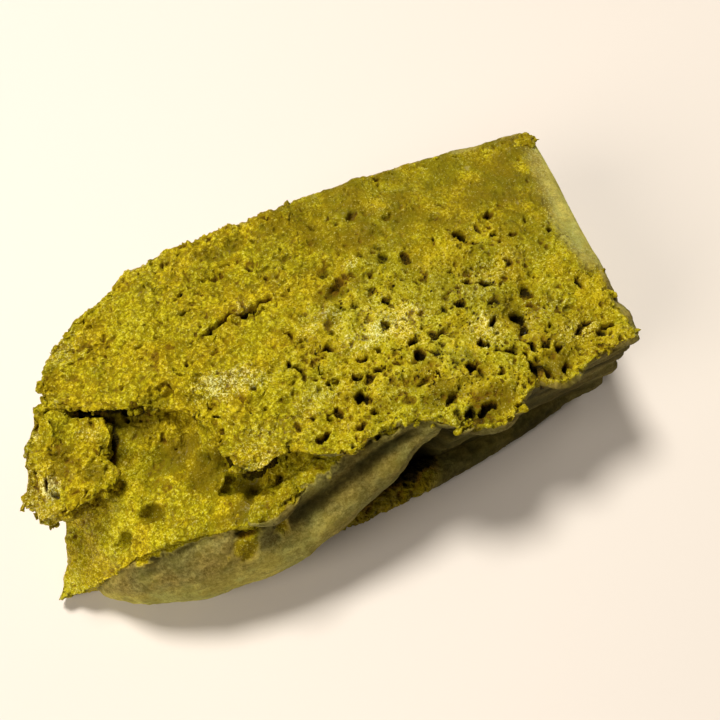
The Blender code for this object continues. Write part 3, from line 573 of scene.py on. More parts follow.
def open_crumb(surface, coarse, grainy, skin=0.0, sink=0.0, dent=0.0, pleat=0.2, dark=0.0, **layers):
    """Give the torn parts clumps, grains and bubbles of falling size, and wrinkle the skin.

    'coarse' is the share of open bubbles and 'grainy' the strength of the clumps, each from 0 to
    1. 'sink' is the depth of the listed cavities, which also get painted shade, 'dent' that of soft
    dents, 'pleat' the height of the skin's pleats, and 'dark' the least painted shade of each point.
    Further layers, of moist patches with painted shade and of painted light, are kept for the
    finish as they are.
    """
    points, normals = surface.points, surface.normals()
    torn = 1.0 - skin
    low = fade(0.0, 1.6, points[:, 2])
    sway = shake(points, 0.9, 30)
    bent = points + 0.9 * shake(points, 2.6, 45) + 0.3 * sway
    near = points + 0.25 * sway
    opened = np.maximum(bubbles(bent, normals, 2.8, 0.6 * coarse ** 2, 50),
                        0.9 * bubbles(bent, normals, 1.75, 0.55 * coarse, 60))
    opened = np.maximum(opened, 0.8 * bubbles(near, normals, 1.15, 0.15 + 0.6 * coarse, 70))
    opened = np.maximum(opened, 0.7 * bubbles(near, normals, 0.8, 0.35 + 0.4 * coarse, 80))
    clumps = grains(bent, 4.6, 31) ** 0.5 - 0.7
    clods = grains(bent, 2.1, 32) - 0.5
    grain = 0.55 * grains(bent, 1.15, 33) + 0.45 * grains(near, 0.75, 34) - 0.55
    lump = (0.4 + 0.9 * coarse) * noise(points, 4.0, 35)
    lump += grainy * (0.9 * clumps + 0.4 * clods + 0.5 * grain)
    drawn = points * (0.12, 0.5, 1.0) + points[:, :1] * (0.0, 0.0, -0.18)
    wrinkle = pleat * noise(drawn, 2.6, 36)
    wrinkle += np.minimum(0.4 * pleat, 0.16) * noise(points, 1.6, 37)
    wrinkle += np.minimum(0.3 * pleat, 0.10) * noise(points, 0.7, 38)
    moved = low * (torn * (lump - 0.3 - np.maximum(opened, sink) - dent) + skin * (wrinkle - 0.2))
    ragged = 0.45 * shake(points, 1.7, 39) + 0.25 * shake(points, 0.8, 42)
    surface.points = points + normals * moved[:, None] + ragged * (low * torn * (0.3 + 0.7 * grainy))[:, None]
    surface.points[:, 2] = np.clip(surface.points[:, 2], 0.0, TALLEST + 0.4)
    # the hollow value is painted shade: in the opened bubbles and cavities, the clefts between clumps, and
    # the skin's creases
    cleft = np.maximum(0.0, -0.9 * clumps - 0.2) + np.maximum(0.0, -0.6 * (grain + clods))
    crease = skin * np.clip(-1.2 * wrinkle - 0.1, 0.0, 1.0)
    hollow = torn * (np.maximum(opened / 1.7, sink / 2.2) + 0.7 * grainy * cleft) + crease
    foam = np.clip(0.35 + coarse - 0.5 * grainy, 0.0, 1.0)
    surface.keep(skin=skin, hollow=np.maximum(np.clip(hollow, 0.0, 1.0), dark), foam=foam, **layers)
    return surface


def slab_skin(points, drop, inside):
    """Where the slab has a side wall, and where that and the shoulder at +X carry skin.

    'drop' is the distance below the rim and 'inside' that from the rim at +X.
    """
    x, y, _ = points.T
    ragged = 0.5 * noise(points, 3.0, 10) + 0.4 * noise(points, 1.1, 11)
    border = x + 2.6 * noise(points, 7.0, 52) + 1.4 * noise(points, 2.4, 53)
    side = np.where(y < -10.0, fade(-22.0, -14.0, x), fade(-45.6, -44.4, border))
    side = np.where((y < 12.0) & (x < -24.0), 0.0, side)
    edge = np.where(y < -18.0, 1.3, 0.75 + 1.7 * fade(36.0, -8.0, x))
    band = 2.2 * fade(-13.0, 2.0, y) * fade(28.0, 14.0, y)
    shoulder = fade(2.2, -3.4, inside - band + ragged) * fade(-10.0, -6.0, y)
    return side, np.maximum(side * fade(-0.15, 0.15, drop - edge + ragged), shoulder)


def slab_stain(points, soft, drop, close):
    """Darkness of the torn face: moist patches, wide fields darker towards +X and the back, and blotches,
    less towards both ends.
    """
    x, y, _ = points.T
    broad = 0.30 * fade(-24.0, 0.0, x) + 0.32 * fade(8.0, 26.0, x + 0.8 * y) + 0.24 * close
    blotch = 0.30 * noise(soft, 4.2, 48) + 0.38 * noise(soft, 2.6, 57)
    blotch *= fade(-34.0, -14.0, x) * fade(0.0, 10.0, y) + 0.4 * fade(16.0, 26.0, x - y)
    # lighter towards both ends of the face
    dry = 0.8 * fade(-30.0, -46.0, x) + 0.25 * fade(38.0, 48.0, x) * fade(4.0, -4.0, y)
    stain = np.maximum(np.maximum(ovals(soft, STAINS, 0.6), broad) + blotch, 0.0) - dry
    return stain * fade(5.0, 1.0, drop)


def slab_front_shade(points, drop):
    """Painted shade on the front wall, in level streaks."""
    x, y, _ = points.T
    damp = fade(-10.0, -18.0, y) * fade(-20.0, -10.0, x) * fade(0.5, 3.0, drop)
    return damp * (0.88 - 0.22 * fade(28.0, 40.0, x) + 0.32 * noise(points * (0.3, 1.0, 1.0), 3.0, 47))


def slab_surface(step, span, seam):
    """One end of the slab: crumb on its face and its torn left end, skin on its other sides.

    The two ends overlap. Past the seam each one dips slowly under the other, and drops at its end.
    """
    rows = np.concatenate((np.linspace(0.0, 0.16, 12)[1:], np.linspace(0.16, 1.0, 22)[1:]))
    edges = (SLAB_FRONT, SLAB_BACK, SLAB_LEFT, SLAB_RIGHT)
    surface = closed_block(edges, cell_counts(SLAB_SPAN, step), slab_face, rows, slab_row, span)
    points, normals = surface.points, surface.normals()
    x, y, z = points.T
    drop = surface.values["rim_z"] - z
    inside = (1.0 - surface.values["column"]) * SLAB_SPAN[0]
    side, skin = slab_skin(points, drop, inside)
    spongy = fade(-18.0, 6.0, x - 0.3 * y) * fade(20.0, 8.0, y + 0.1 * x)
    close = fade(-4.0, 14.0, x) * fade(13.0, 21.0, y + 0.1 * x)
    coarse = 0.25 + 0.5 * spongy - 0.1 * close - 0.2 * fade(40.0, 48.0, x) + 0.3 * noise(points, 8.0, 12)
    grainy = np.clip(1.0 - 0.45 * spongy - 0.75 * close, 0.15, 1.0)

    waver = points + 0.8 * shake(points, 1.8, 18) + 0.4 * shake(points, 0.8, 21)
    broken = fade(-0.4, 0.1, noise(points, 2.2, 29))
    cracks = broken * crack_depth(waver + 0.5 * shake(points, 0.9, 54), CRACKS)
    sink = np.maximum(ovals(waver, CAVITIES, 0.55), cracks) * fade(4.0, 1.0, drop)
    soft = points + 1.4 * shake(points, 4.0, 24)
    dent = 0.45 * ovals(soft, STAINS, 1.2) * fade(5.0, 1.0, drop)

    end_skin = skin * fade(44.0, 52.0, x) * fade(-14.0, -2.0, y) * fade(0.9, 0.2, normals[:, 1])
    # painted light: sheen and glints in the pale patches, and a lighter end wall where it faces +X
    pale = np.maximum(ovals(soft, PALE, 0.8) * fade(3.0, 1.0, drop),
                      end_skin * (1.1 + 0.6 * fade(0.0, 0.6, normals[:, 0])))
    # painted shade on the wall below the torn rim, which feeds the stain and the darkness
    shade = fade(0.5, 2.0, drop) * (1.0 - side) * fade(-17.0, -22.0, x) * fade(12.0, 8.0, y)
    shade *= 1.0 - 0.8 * fade(-43.0, -38.0, x) * fade(-14.0, -9.0, y)
    stain = np.maximum(slab_stain(points, soft, drop, close) * (1.0 - skin), 1.5 * shade)
    # painted shade on the front wall
    stain = np.maximum(stain, slab_front_shade(points, drop))
    pleat = 0.25 + 1.2 * fade(-8.0, -16.0, y) * fade(2.0, 12.0, x) - 0.2 * end_skin

    lip = np.exp(-((x + 28.0) / 4.4) ** 2) * fade(-10.0, -18.0, y) * fade(4.0, 1.0, drop)
    points[:, 1] -= 1.8 * lip
    points[:, 2] -= 0.9 * np.clip(1.0 - inside / 3.4, 0.0, 1.0) ** 2 * fade(-13.0, 2.0, y)
    points[:, 2] -= ovals(points, RIM_DROOP, 0.8) * fade(8.0, 2.0, drop)
    # painted shade in the recess and below the torn rim
    recess = fade(-24.0, -16.0, x) * fade(17.0, 9.0, x) * fade(-10.0, -16.0, y)
    dark = np.maximum(0.42 * recess * fade(2.0, 8.0, drop), 0.8 * shade * fade(1.2, 3.5, drop))
    open_crumb(surface, np.clip(coarse, 0.0, 1.0), grainy, skin, sink, dent, pleat, dark,
               stain=stain, pale=pale)
    past = (surface.values["column"] - seam) * SLAB_SPAN[0] * (1.0 if span[0] == 0.0 else -1.0)
    tuck = np.clip(0.04 * past, 0.0, 1.0) + 1.2 * fade(1.6, 2.2, past)
    surface.points = surface.points - normals * tuck[:, None]
    return surface


def ledge_surface(step):
    """The ledge: close, moist crumb, with painted shade under the torn wall and painted light on its left
    edge.
    """
    edges = (LEDGE_FRONT, LEDGE_BACK, LEDGE_LEFT, LEDGE_RIGHT)
    surface = closed_block(edges, cell_counts(LEDGE_SPAN, step), ledge_face, SIDE_ROWS, ledge_row)
    points = surface.points
    x, y, z = points.T
    waver = points + 0.6 * shake(points, 2.2, 18)
    soft = points + 1.2 * shake(points, 4.0, 24)
    top = fade(4.0, 1.0, surface.values["rim_z"] - z)
    # painted shade in the slot under the torn wall
    slot = fade(-3.6, -0.6, behind_wall(x, y)) * fade(-37.0, -43.0, x)
    # painted light on the left edge: less stain and more pale
    left = fade(-50.0, -64.0, x) * fade(-3.0, -10.0, y)
    stain = np.maximum(ovals(soft, LEDGE_STAINS, 0.8), 1.2 * slot) * top - 0.9 * left
    coarse = np.clip(0.15 + 0.2 * noise(points, 8.0, 13), 0.0, 1.0)
    # painted shadow in the gaps by the torn wall and beside the flap
    return open_crumb(surface, coarse, 0.55 + 0.3 * noise(points, 6.0, 19),
                      dent=ovals(waver, PITS, 0.45) * top, stain=stain, pale=0.2 * left,
                      dark=np.minimum(ovals(waver, LEDGE_PAINTED_SHADOWS, 0.5), 1.0) * top)


def flap_surface(step):
    """The flap: the most broken crumb, sunk and in painted shade where it meets the torn wall, with painted
    light on its left edge.
    """
    edges = (FLAP_FRONT, FLAP_BACK, FLAP_LEFT, FLAP_RIGHT)
    surface = closed_block(edges, cell_counts(FLAP_SPAN, step), flap_face, SIDE_ROWS, flap_row)
    points = surface.points
    x, y, _ = points.T
    coarse = np.clip(0.4 + 0.3 * noise(points, 5.0, 14), 0.0, 1.0)
    # painted light on the left edge, and the painted glint spots
    pale = 0.7 * fade(-60.0, -67.0, x) + ovals(points, FLAP_PALE, 0.6)
    stain = 0.7 * np.clip(0.1 + 1.1 * noise(points, 4.5, 51), 0.0, 1.0)
    stain = np.maximum(stain, ovals(points + 1.2 * shake(points, 3.0, 58), FLAP_STAINS, 0.6))
    # painted shade where the flap meets the torn wall, which is also sunk
    back = fade(-1.5, -0.3, behind_wall(x, y) + 0.5 * noise(points, 2.0, 59)) * fade(-54.8, -52.8, x)
    open_crumb(surface, coarse, 1.0, stain=stain, pale=pale, dark=back)
    torn_edge = 1.1 * shake(points * (1.0, 1.0, 0.5), 3.2, 27) * (1.0, 1.0, 0.4)
    surface.points = surface.points + torn_edge - 2.5 * back[:, None] * (0.0, 0.0, 1.0)
    return surface


def fold_surface(step):
    """The fold: skin all round, grooved and bellied, with crumb along its torn top."""
    surface = closed_roll(FOLD_PATH, FOLD_OUT, FOLD_UP, *cell_counts(FOLD_SPAN, step), FOLD_CAP)
    points, normals = surface.points, surface.normals()
    turn, along = surface.values["turn"], surface.values["along"]
    ragged = 11.0 * noise(points, 4.0, 15) + 9.0 * noise(points, 1.4, 16) + 5.0 * noise(points, 0.6, 20)
    scar = fade(0.1, 0.9, ovals(points + 0.9 * shake(points, 1.5, 18), SCARS, 1.0))
    skin = fade(3.0, -3.0, turn - 80.0 + ragged) * fade(-150.0, -120.0, turn) * (1.0 - scar)
    groove = fade(34.0, 4.0, abs(turn - 48.0 + 8.0 * noise(points, 9.0, 17)))
    groove *= fade(0.36, 0.54, along) * fade(0.98, 0.88, along)
    # painted shadow in the gap under the flake
    gap = ovals(points, FOLD_GAP, 0.6) * fade(40.0, 60.0, turn)
    deep = 0.9 * groove * (1.0 + 0.2 * fade(0.62, 0.80, along))
    upper = 0.45 * fade(30.0, 60.0, turn) * (1.0 + noise(points, 5.0, 22))
    # darker skin in the groove, on the upper side and towards the right end: painted shade
    moist = skin * np.max((deep, 0.4 * fade(0.50, 0.75, along), upper), axis=0)
    bare = 0.5 * (1.0 - skin) * fade(0.44, 0.56, along)
    stain = np.max((moist, bare, 1.6 * gap, 0.8 * scar), axis=0)
    # painted light on the lower ridge, mostly towards the left end
    low = fade(44.0, 8.0, turn) + 0.5 * fade(5.0, -20.0, turn)
    low = low * (1.0 - 0.75 * fade(0.42, 0.68, along))
    pale = skin * low * (0.8 + 0.3 * noise(points, 4.0, 23))
    belly = fade(-75.0, -35.0, turn) * fade(30.0, 0.0, turn)
    belly = 1.8 * belly * fade(0.34, 0.56, along) * fade(0.94, 0.80, along)
    hollows = 0.35 * np.maximum(noise(points * (0.5, 1.0, 1.0), 2.2, 25), 0.0) * skin
    open_crumb(surface, 0.25 - 0.2 * scar, 0.6 - 0.5 * scar, skin, pleat=0.35, dark=0.9 * gap,
               stain=stain, pale=pale)
    inward = 1.7 * groove + hollows + 2.2 * gap + 0.5 * scar - belly
    surface.points = surface.points - normals * inward[:, None]
    return surface


def roll_surface(step):
    """The foot roll: broken crumb on the left, skin on the right."""
    surface = closed_roll(ROLL_PATH, ROLL_OUT, ROLL_UP, *cell_counts(ROLL_SPAN, step), ROLL_CAP)
    points = surface.points
    skin = fade(8.0, 14.0, points[:, 0] + 4.0 * noise(points, 5.0, 17))
    # painted shade of the recess over the roll, less on some crumb bits
    stain = np.where(skin > 0.5, 0.85, 1.5 - 0.9 * fade(-0.1, 0.5, noise(points, 4.0, 26)))
    # painted shade on the top and back of the roll's crumb, under the slab
    gloom = (1.0 - skin) * fade(50.0, 100.0, surface.values["turn"] + 30.0 * noise(points, 3.0, 41))
    return open_crumb(surface, 0.5, 0.9, skin, pleat=0.5, dark=gloom, stain=stain, pale=0.0)


def blobs(centres, halves, around, down):
    """Closed ellipsoids, all in one surface: 'around' points on each of 'down' rings and two poles."""
    turn = np.linspace(0.0, 2.0 * np.pi, around, endpoint=False)
    tilt = np.linspace(0.0, np.pi, down + 2)
    ring = np.stack((np.cos(turn), np.sin(turn)), axis=1)
    shell = np.concatenate([[(0.0, 0.0, 1.0)]] + [
        np.column_stack((ring * math.sin(angle), np.full(around, math.cos(angle)))) for angle in tilt[1:-1]
    ] + [[(0.0, 0.0, -1.0)]])
    grid = 1 + np.arange(around * down).reshape(down, around)
    beside = np.roll(grid, -1, axis=1)
    quads = np.stack((grid[:-1], grid[1:], beside[1:], beside[:-1]), axis=-1).reshape(-1, 4)
    last = around * down + 1
    triangles = np.concatenate((
        np.stack((np.zeros(around, int), grid[0], beside[0]), axis=1),
        np.stack((np.full(around, last), beside[-1], grid[-1]), axis=1)))
    points = centres[:, None] + halves[:, None] * shell
    shift = (np.arange(len(centres)) * len(shell))[:, None, None]
    surface = Surface(points.reshape(-1, 3), (quads + shift).reshape(-1, 4),
                      (triangles + shift).reshape(-1, 3))
    surface.values["owner"] = np.repeat(np.arange(len(centres)), len(shell))
    return surface


def lumps_surface():
    """Lumps of crumb half torn off the edges, some with skin on their front."""
    table = np.array(LUMPS)
    surface = blobs(table[:, :3], table[:, 3:6], 64, 34)
    skinned = table[surface.values["owner"], 6]
    points, normals = surface.points, surface.normals()
    facing = -normals[:, 1] - 0.5 * normals[:, 2] + 0.25 * noise(points, 1.5, 19)
    skin = fade(0.0, 0.12, facing - (1.1 - 0.9 * skinned)) * (skinned > 0.0)
    surface.points = points + 0.9 * shake(points, 3.0, 27)
    return open_crumb(surface, 0.45, 0.9, skin, stain=0.4 + 0.3 * noise(points, 3.0, 49), pale=0.0)


def crumbs_surface():
    """Small crumbs that cling to the torn edges."""
    dice = np.random.default_rng(SEED)
    centres = []
    faces = {"slab": slab_face, "flap": flap_face}
    for edge, form, below, count in SHEDDING:
        place = curve(edge, np.sort(dice.random(count)))
        height = faces[form](place[:, 0], place[:, 1]) - below * dice.random(count) - 0.6
        height -= ovals(np.column_stack((place, height)), RIM_DROOP, 0.8)
        centres.append(np.column_stack((place + dice.normal(0.0, 0.35, (count, 2)), height)))
    centres = np.concatenate(centres)
    small, large = CRUMB_SIZES
    size = small + (large - small) * dice.random(len(centres)) ** 2.5
    halves = size[:, None] * dice.uniform(0.75, 1.25, (len(centres), 3))
    surface = blobs(centres, halves, 18, 12)
    owner = surface.values["owner"]
    spot = (surface.points - centres[owner]) / size[owner, None]
    bent = 0.8 * shake(spot + 7.3 * owner[:, None], 1.1, 28)
    bent += 0.4 * shake(spot + 3.1 * owner[:, None], 0.5, 46)
    surface.points = surface.points + bent * size[owner, None]
    surface.keep(**dict.fromkeys(LAYERS, 0.0))
    surface.keep(stain=0.7 * dice.random(len(centres))[owner])
    return surface


# ---------------------------------------------------------------- shader helpers

class Value:
    """A node's output socket that can be used in arithmetic, which adds Math nodes."""

    def __init__(self, shader, socket):
        self.shader = shader
        self.socket = socket

    def _math(self, operation, *parts):
        return self.shader.node("ShaderNodeMath", {"operation": operation}, dict(enumerate(parts)))

    def __add__(self, other):
        return self._math("ADD", self, other)

    def __sub__(self, other):
        return self._math("SUBTRACT", self, other)

    def __rsub__(self, other):
        return self._math("SUBTRACT", other, self)

    def __mul__(self, other):
        return self._math("MULTIPLY", self, other)

    __radd__ = __add__
    __rmul__ = __mul__

    def ramp(self, low, high, start=0.0, end=1.0):
        """Start at low and end at high, with a smooth change between."""
        return self.shader.node("ShaderNodeMapRange", {"interpolation_type": "SMOOTHSTEP"},
                                {"Value": self, "From Min": low, "From Max": high,
                                 "To Min": start, "To Max": end})


class Shader:
    """A material's node tree, filled by one method."""

    def __init__(self, name):
        self.material = bpy.data.materials.new(name)
        self.material.use_nodes = True
        self.tree = self.material.node_tree
        self.surface = self.tree.nodes["Principled BSDF"]
        self.place = self.node("ShaderNodeTexCoord", {}, {}, "Object")

    def node(self, kind, settings, inputs, output=0):
        """A node of a kind with its settings, then its sockets' numbers or links."""
        made = self.tree.nodes.new(kind)
        for name, setting in settings.items():
            setattr(made, name, setting)
        self.feed(made, inputs)
        return Value(self, made.outputs[output])

    def feed(self, made, inputs):
        """Set or link a node's sockets."""
        for name, given in inputs.items():
            if isinstance(given, Value):
                self.tree.links.new(given.socket, made.inputs[name])
            else:
                made.inputs[name].default_value = given

    def attribute(self, name):
        """One of the mesh's own values."""
        return self.node("ShaderNodeAttribute", {"attribute_name": name}, {}, "Fac")

    def speckle(self, size, detail=2.0, roughness=0.5, place=None):
        """Soft noise whose lumps are about size metres across."""
        return self.node("ShaderNodeTexNoise", {}, {"Vector": place or self.place, "Scale": 1.0 / size,
                                                    "Detail": detail, "Roughness": roughness})

    def streaks(self, size):
        """Speckle drawn out three times as long in x."""
        drawn = self.node("ShaderNodeMapping", {}, {"Vector": self.place, "Scale": (0.33, 1.0, 1.0)})
        return self.speckle(size, 4.0, 0.7, drawn)

    def cells(self, size):
        """Distance to the nearest of points scattered about size metres apart, in cell widths."""
        wander = self.node("ShaderNodeTexNoise", {}, {"Vector": self.place, "Scale": 0.6 / size}, "Color")
        bent = self.node("ShaderNodeVectorMath", {"operation": "MULTIPLY_ADD"},
                         {0: wander, 1: (1.6 * size,) * 3, 2: self.place}, "Vector")
        return self.node("ShaderNodeTexVoronoi", {"feature": "F1"}, {"Vector": bent, "Scale": 1.0 / size},
                         "Distance")

    def blend(self, share, first, second, kind="MIX"):
        """A colour between two by a share from 0 to 1, or with kind MULTIPLY the first times the second."""
        inputs = {0: share}
        for socket, given in ((6, first), (7, second)):
            inputs[socket] = given if isinstance(given, Value) else (*given, 1.0)
        return self.node("ShaderNodeMix", {"data_type": "RGBA", "blend_type": kind}, inputs, 2)


def skin_finish(shader, colours, hollow, stain, pale):
    """Freckled skin with soft olive clouds: the freckles and the colour."""
    freckle = (shader.speckle(0.0009, 5.0, 0.95) * 0.7 + shader.streaks(0.0014) * 0.3).ramp(0.40, 0.60)
    cloud = shader.speckle(0.006, 4.0, 0.7).ramp(0.34, 0.66)
    olive = shader.speckle(0.006, 3.0, 0.6).ramp(0.38, 0.66)
    colour = shader.blend(freckle * 0.8 + cloud * 0.2, colours.skin_dark, colours.skin_light)
    # painted light where the pale value is set
    colour = shader.blend(pale * (freckle * 0.5 + 0.3), colour, colours.skin_painted_light)
    colour = shader.blend(olive * 0.4, colour, colours.skin_olive)
    # painted shade in the creases and where the stain value is set
    return freckle, shader.blend((hollow * 0.6 + stain).ramp(0.0, 1.3), colour, colours.skin_shade)


def cake_material(colours, gloss):
    """Moist crumb and thin skin in one finish, shared out by the mesh's 'skin' value.

    The crumb's fine pattern goes from bright grains with dark clefts to bright walls round dark
    pinholes as the mesh's 'foam' value rises; its dark parts are painted shade and its bright parts
    painted light. The 'hollow' value adds painted shade in the pores, and the 'pale' value painted
    glints.
    """
    shader = Shader("steamed_cake")
    skin, hollow, stain, pale, foam = (shader.attribute(name) for name in LAYERS)
    even = stain.ramp(0.5, 1.1, 1.0, 0.72)
    fine = (shader.speckle(0.0006, 3.0, 0.92) - 0.5) * (even * 1.1 + foam * 0.2)
    fine = fine + (shader.speckle(0.00028, 1.0, 0.5) - 0.5) * 0.55 + 0.5
    grain = (shader.cells(0.0012) * 0.5 + shader.cells(0.0007) * 0.5).ramp(0.75, 0.15)
    pinhole = shader.cells(0.00085).ramp(0.12, 0.42)
    pattern = (grain * (1.0 - foam) + pinhole * foam - 0.6) * even + 0.6
    pits = (shader.cells(0.0013) + (shader.speckle(0.0024, 2.0, 0.5) - 0.5) * 0.6).ramp(0.26, 0.14)
    pits = pits * foam.ramp(0.5, 0.85) * shader.speckle(0.005, 1.0, 0.5).ramp(0.42, 0.56)

    light = shader.speckle(0.011, 3.0, 0.6) * 0.45 + shader.speckle(0.0028, 3.0, 0.6) * 0.55
    # the pale patches are painted lighter
    light = (light + pale * 0.18 - foam * 0.08 - stain * 0.10).ramp(0.30, 0.58)
    crumb = shader.blend(light, colours.crumb_deep, colours.crumb_light)
    # painted shade in the clefts and pinholes, and painted light on the grain tops and thin walls
    crumb = shader.blend((pattern * 0.45 + fine).ramp(0.92, 0.50, 0.0, 0.8), crumb, colours.crumb_cleft_shade)
    crumb = shader.blend((pattern * 0.35 + fine).ramp(0.70, 1.0, 0.0, 0.75), crumb, colours.crumb_top_light)
    # moist patches, and painted shade where the stain value carries it
    crumb = shader.blend((stain * 0.75).ramp(0.0, 1.0, 0.0, 0.9), crumb, colours.crumb_moist_and_shade)
    # painted glints, most in the pale patches
    glint = (fine + pale * 0.12).ramp(0.62, 0.70)
    crumb = shader.blend(glint * (pale * 0.6 + foam * 0.15 + 0.3), crumb, colours.crumb_glint)
    # painted shade in the pores and pits, deepest where the mesh is hollow
    shade_share = hollow + (fine - 0.5) * hollow.ramp(0.02, 0.25) * 1.2 + pits * 0.7
    rust = shader.speckle(0.0035, 2.0, 0.5).ramp(0.40, 0.56) * shade_share.ramp(0.12, 0.4)
    crumb = shader.blend(rust * 0.85, crumb, colours.crumb_rust)
    crumb = shader.blend(shade_share.ramp(0.34, 0.95), crumb, colours.pore_shade)

    freckle, skin_colour = skin_finish(shader, colours, hollow, stain, pale)
    rim = skin * (1.0 - skin) * (3.0 - pale * 3.0) * stain.ramp(0.1, 0.8, 1.0, 0.2)
    base = shader.blend(rim, shader.blend(skin, crumb, skin_colour), colours.skin_rim)
    tinge = shader.speckle(0.0026, 4.0, 0.6) * 0.4 + shader.speckle(0.0075, 2.0, 0.5) * 0.6
    hue = shader.blend(tinge.ramp(0.40, 0.60), colours.green_cast, colours.amber_cast)
    wet = (shader.speckle(0.006) + pale * 0.15).ramp(0.45, 0.65)
    height = (pattern * 0.6 + fine * 1.2 - pits) * (1.0 - skin) + (freckle * 0.2 + fine * 0.35) * skin
    bump = shader.node("ShaderNodeBump", {},
                       {"Height": height, "Distance": 0.00035, "Strength": 1.0}, "Normal")
    shader.feed(shader.surface, {
        "Base Color": shader.blend(1.0, base, hue, "MULTIPLY"),
        "Roughness": (0.6 - wet * 0.25) * (1.0 - skin) + skin * 0.8,
        "Coat Weight": wet * (1.0 - skin) * (pale * 0.7 + 0.3) * gloss,
        "Coat Roughness": 0.2,
        "Specular IOR Level": 0.14,
        "Specular Tint": (1.0, 0.92, 0.45, 1.0),
        "Normal": bump,
    })
    return shader.material


def floor_material(colour):
    """Plain pale floor with the faintest unevenness."""
    shader = Shader("pale_floor")
    cloud = shader.speckle(0.3).ramp(0.2, 0.8, 0.97, 1.0)
    dim = tuple(0.97 * part for part in colour)
    shader.feed(shader.surface, {"Base Color": shader.blend(cloud, dim, colour), "Roughness": 0.6})
    return shader.material


# ---------------------------------------------------------------- pieces

def add_piece(surface, name, material):
    """Write a surface into a mesh object that replaces the solid cake."""
    mesh = bpy.data.meshes.new(name)
    points = (surface.points - ORIGIN) * MM
    mesh.vertices.add(len(points))
    mesh.vertices.foreach_set("co", points.astype(np.float32).ravel())
    corners = np.concatenate((surface.quads.ravel(), surface.triangles.ravel()))
    starts = np.concatenate((np.arange(len(surface.quads)) * 4,
                             len(surface.quads) * 4 + np.arange(len(surface.triangles)) * 3))
    mesh.loops.add(len(corners))
    mesh.loops.foreach_set("vertex_index", corners.astype(np.int32))
    mesh.polygons.add(len(starts))
    mesh.polygons.foreach_set("loop_start", starts.astype(np.int32))
    mesh.update(calc_edges=True)
    for key in LAYERS:
        layer = mesh.attributes.new(key, "FLOAT", "POINT")
        layer.data.foreach_set("value", surface.values[key].astype(np.float32))
    mesh.shade_smooth()
    mesh.materials.append(material)
    piece = bpy.data.objects.new(name, mesh)
    bpy.context.scene.collection.objects.link(piece)
    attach(piece, "root")
    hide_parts("cake")
    return piece


def shared_material(context):
    """The cake's one material, made the first time that a piece asks for it."""
    found = bpy.data.materials.get("steamed_cake")
    return found or cake_material(context.scene.cake_colours, context.scene.cake_sizes.moist_gloss)


def colour_property(name, description, default, high=1.0):
    """A colour that a user can change."""
    return bpy.props.FloatVectorProperty(name=name, description=description, default=default, size=3,
                                         subtype="COLOR", min=0.0, max=high)


class CakeSizes(bpy.types.PropertyGroup):
    """Sizes that a user would change."""

    grid_step: bpy.props.FloatProperty(
        name="Grid step", description="Distance between the points of the crumb's surface",
        default=0.00027, min=0.0002, max=0.002, unit="LENGTH", precision=5)
    moist_gloss: bpy.props.FloatProperty(
        name="Moist gloss", description="Strength of the wet film on the crumb",
        default=0.2, min=0.0, max=1.0, subtype="FACTOR")
    floor_size: bpy.props.FloatProperty(
        name="Floor size", description="Side of the square floor",
        default=4.0, min=0.5, unit="LENGTH")


class CakeColours(bpy.types.PropertyGroup):
    """Colours of crumb, skin and floor. A cast multiplies them, so it may pass 1."""

    crumb_light: colour_property("Crumb, light", "Lit, drier crumb", (0.60, 0.490, 0.006))
    # painted light on the grain tops and thin bubble walls
    crumb_top_light: colour_property("Crumb, pale", "Thin edges of the bubbles", (0.76, 0.66, 0.045))
    crumb_glint: colour_property("Crumb, glint", "Wet glints on the grains", (0.90, 0.86, 0.36))
    crumb_deep: colour_property("Crumb, deep", "Moist, close crumb", (0.37, 0.300, 0.001))
    # moist patches and painted shade
    crumb_moist_and_shade: colour_property("Crumb, moist", "Dark moist patches", (0.150, 0.114, 0.001))
    # painted shade in the clefts and pinholes
    crumb_cleft_shade: colour_property("Crumb, dark", "Clefts between the grains", (0.19, 0.135, 0.001))
    crumb_rust: colour_property("Crumb, rust", "Brown rims of some pores", (0.15, 0.075, 0.003))
    # painted shade at the bottom of the pores
    pore_shade: colour_property("Pore", "Bottom of the open pores", (0.014, 0.009, 0.001))
    green_cast: colour_property("Green cast", "Factor on the greenest spots", (0.940, 1.00, 1.08), 2.0)
    amber_cast: colour_property("Amber cast", "Factor on the brownest spots", (1.035, 0.978, 0.87), 2.0)
    # painted light on the end wall and the fold's lower ridge
    skin_painted_light: colour_property("Skin, pale", "Thin dry skin of the end wall", (0.66, 0.61, 0.14))
    skin_olive: colour_property("Skin, olive", "Moist olive clouds in the skin", (0.17, 0.155, 0.012))
    skin_rim: colour_property("Skin, rim", "Torn dry edge of the skin", (0.34, 0.28, 0.08))
    skin_shade: colour_property("Skin, shade", "Creases and the damp front wall", (0.024, 0.020, 0.004))
    skin_light: colour_property("Skin, light", "Dry skin", (0.43, 0.355, 0.105))
    skin_dark: colour_property("Skin, dark", "Freckles in the skin", (0.108, 0.081, 0.014))
    floor: colour_property("Floor", "Plain pale floor", (0.70, 0.65, 0.64))


class CAKE_OT_slab(bpy.types.Operator):
    """Make the main half loaf with its torn face, in two ends"""

    bl_idname = "cake.slab"
    bl_label = "Slab"

    def execute(self, context):
        step = context.scene.cake_sizes.grid_step / MM
        for name, span in (("slab_left", (0.0, 0.52)), ("slab_right", (0.48, 1.0))):
            add_piece(slab_surface(step, span, 0.5), name, shared_material(context))
        return {"FINISHED"}


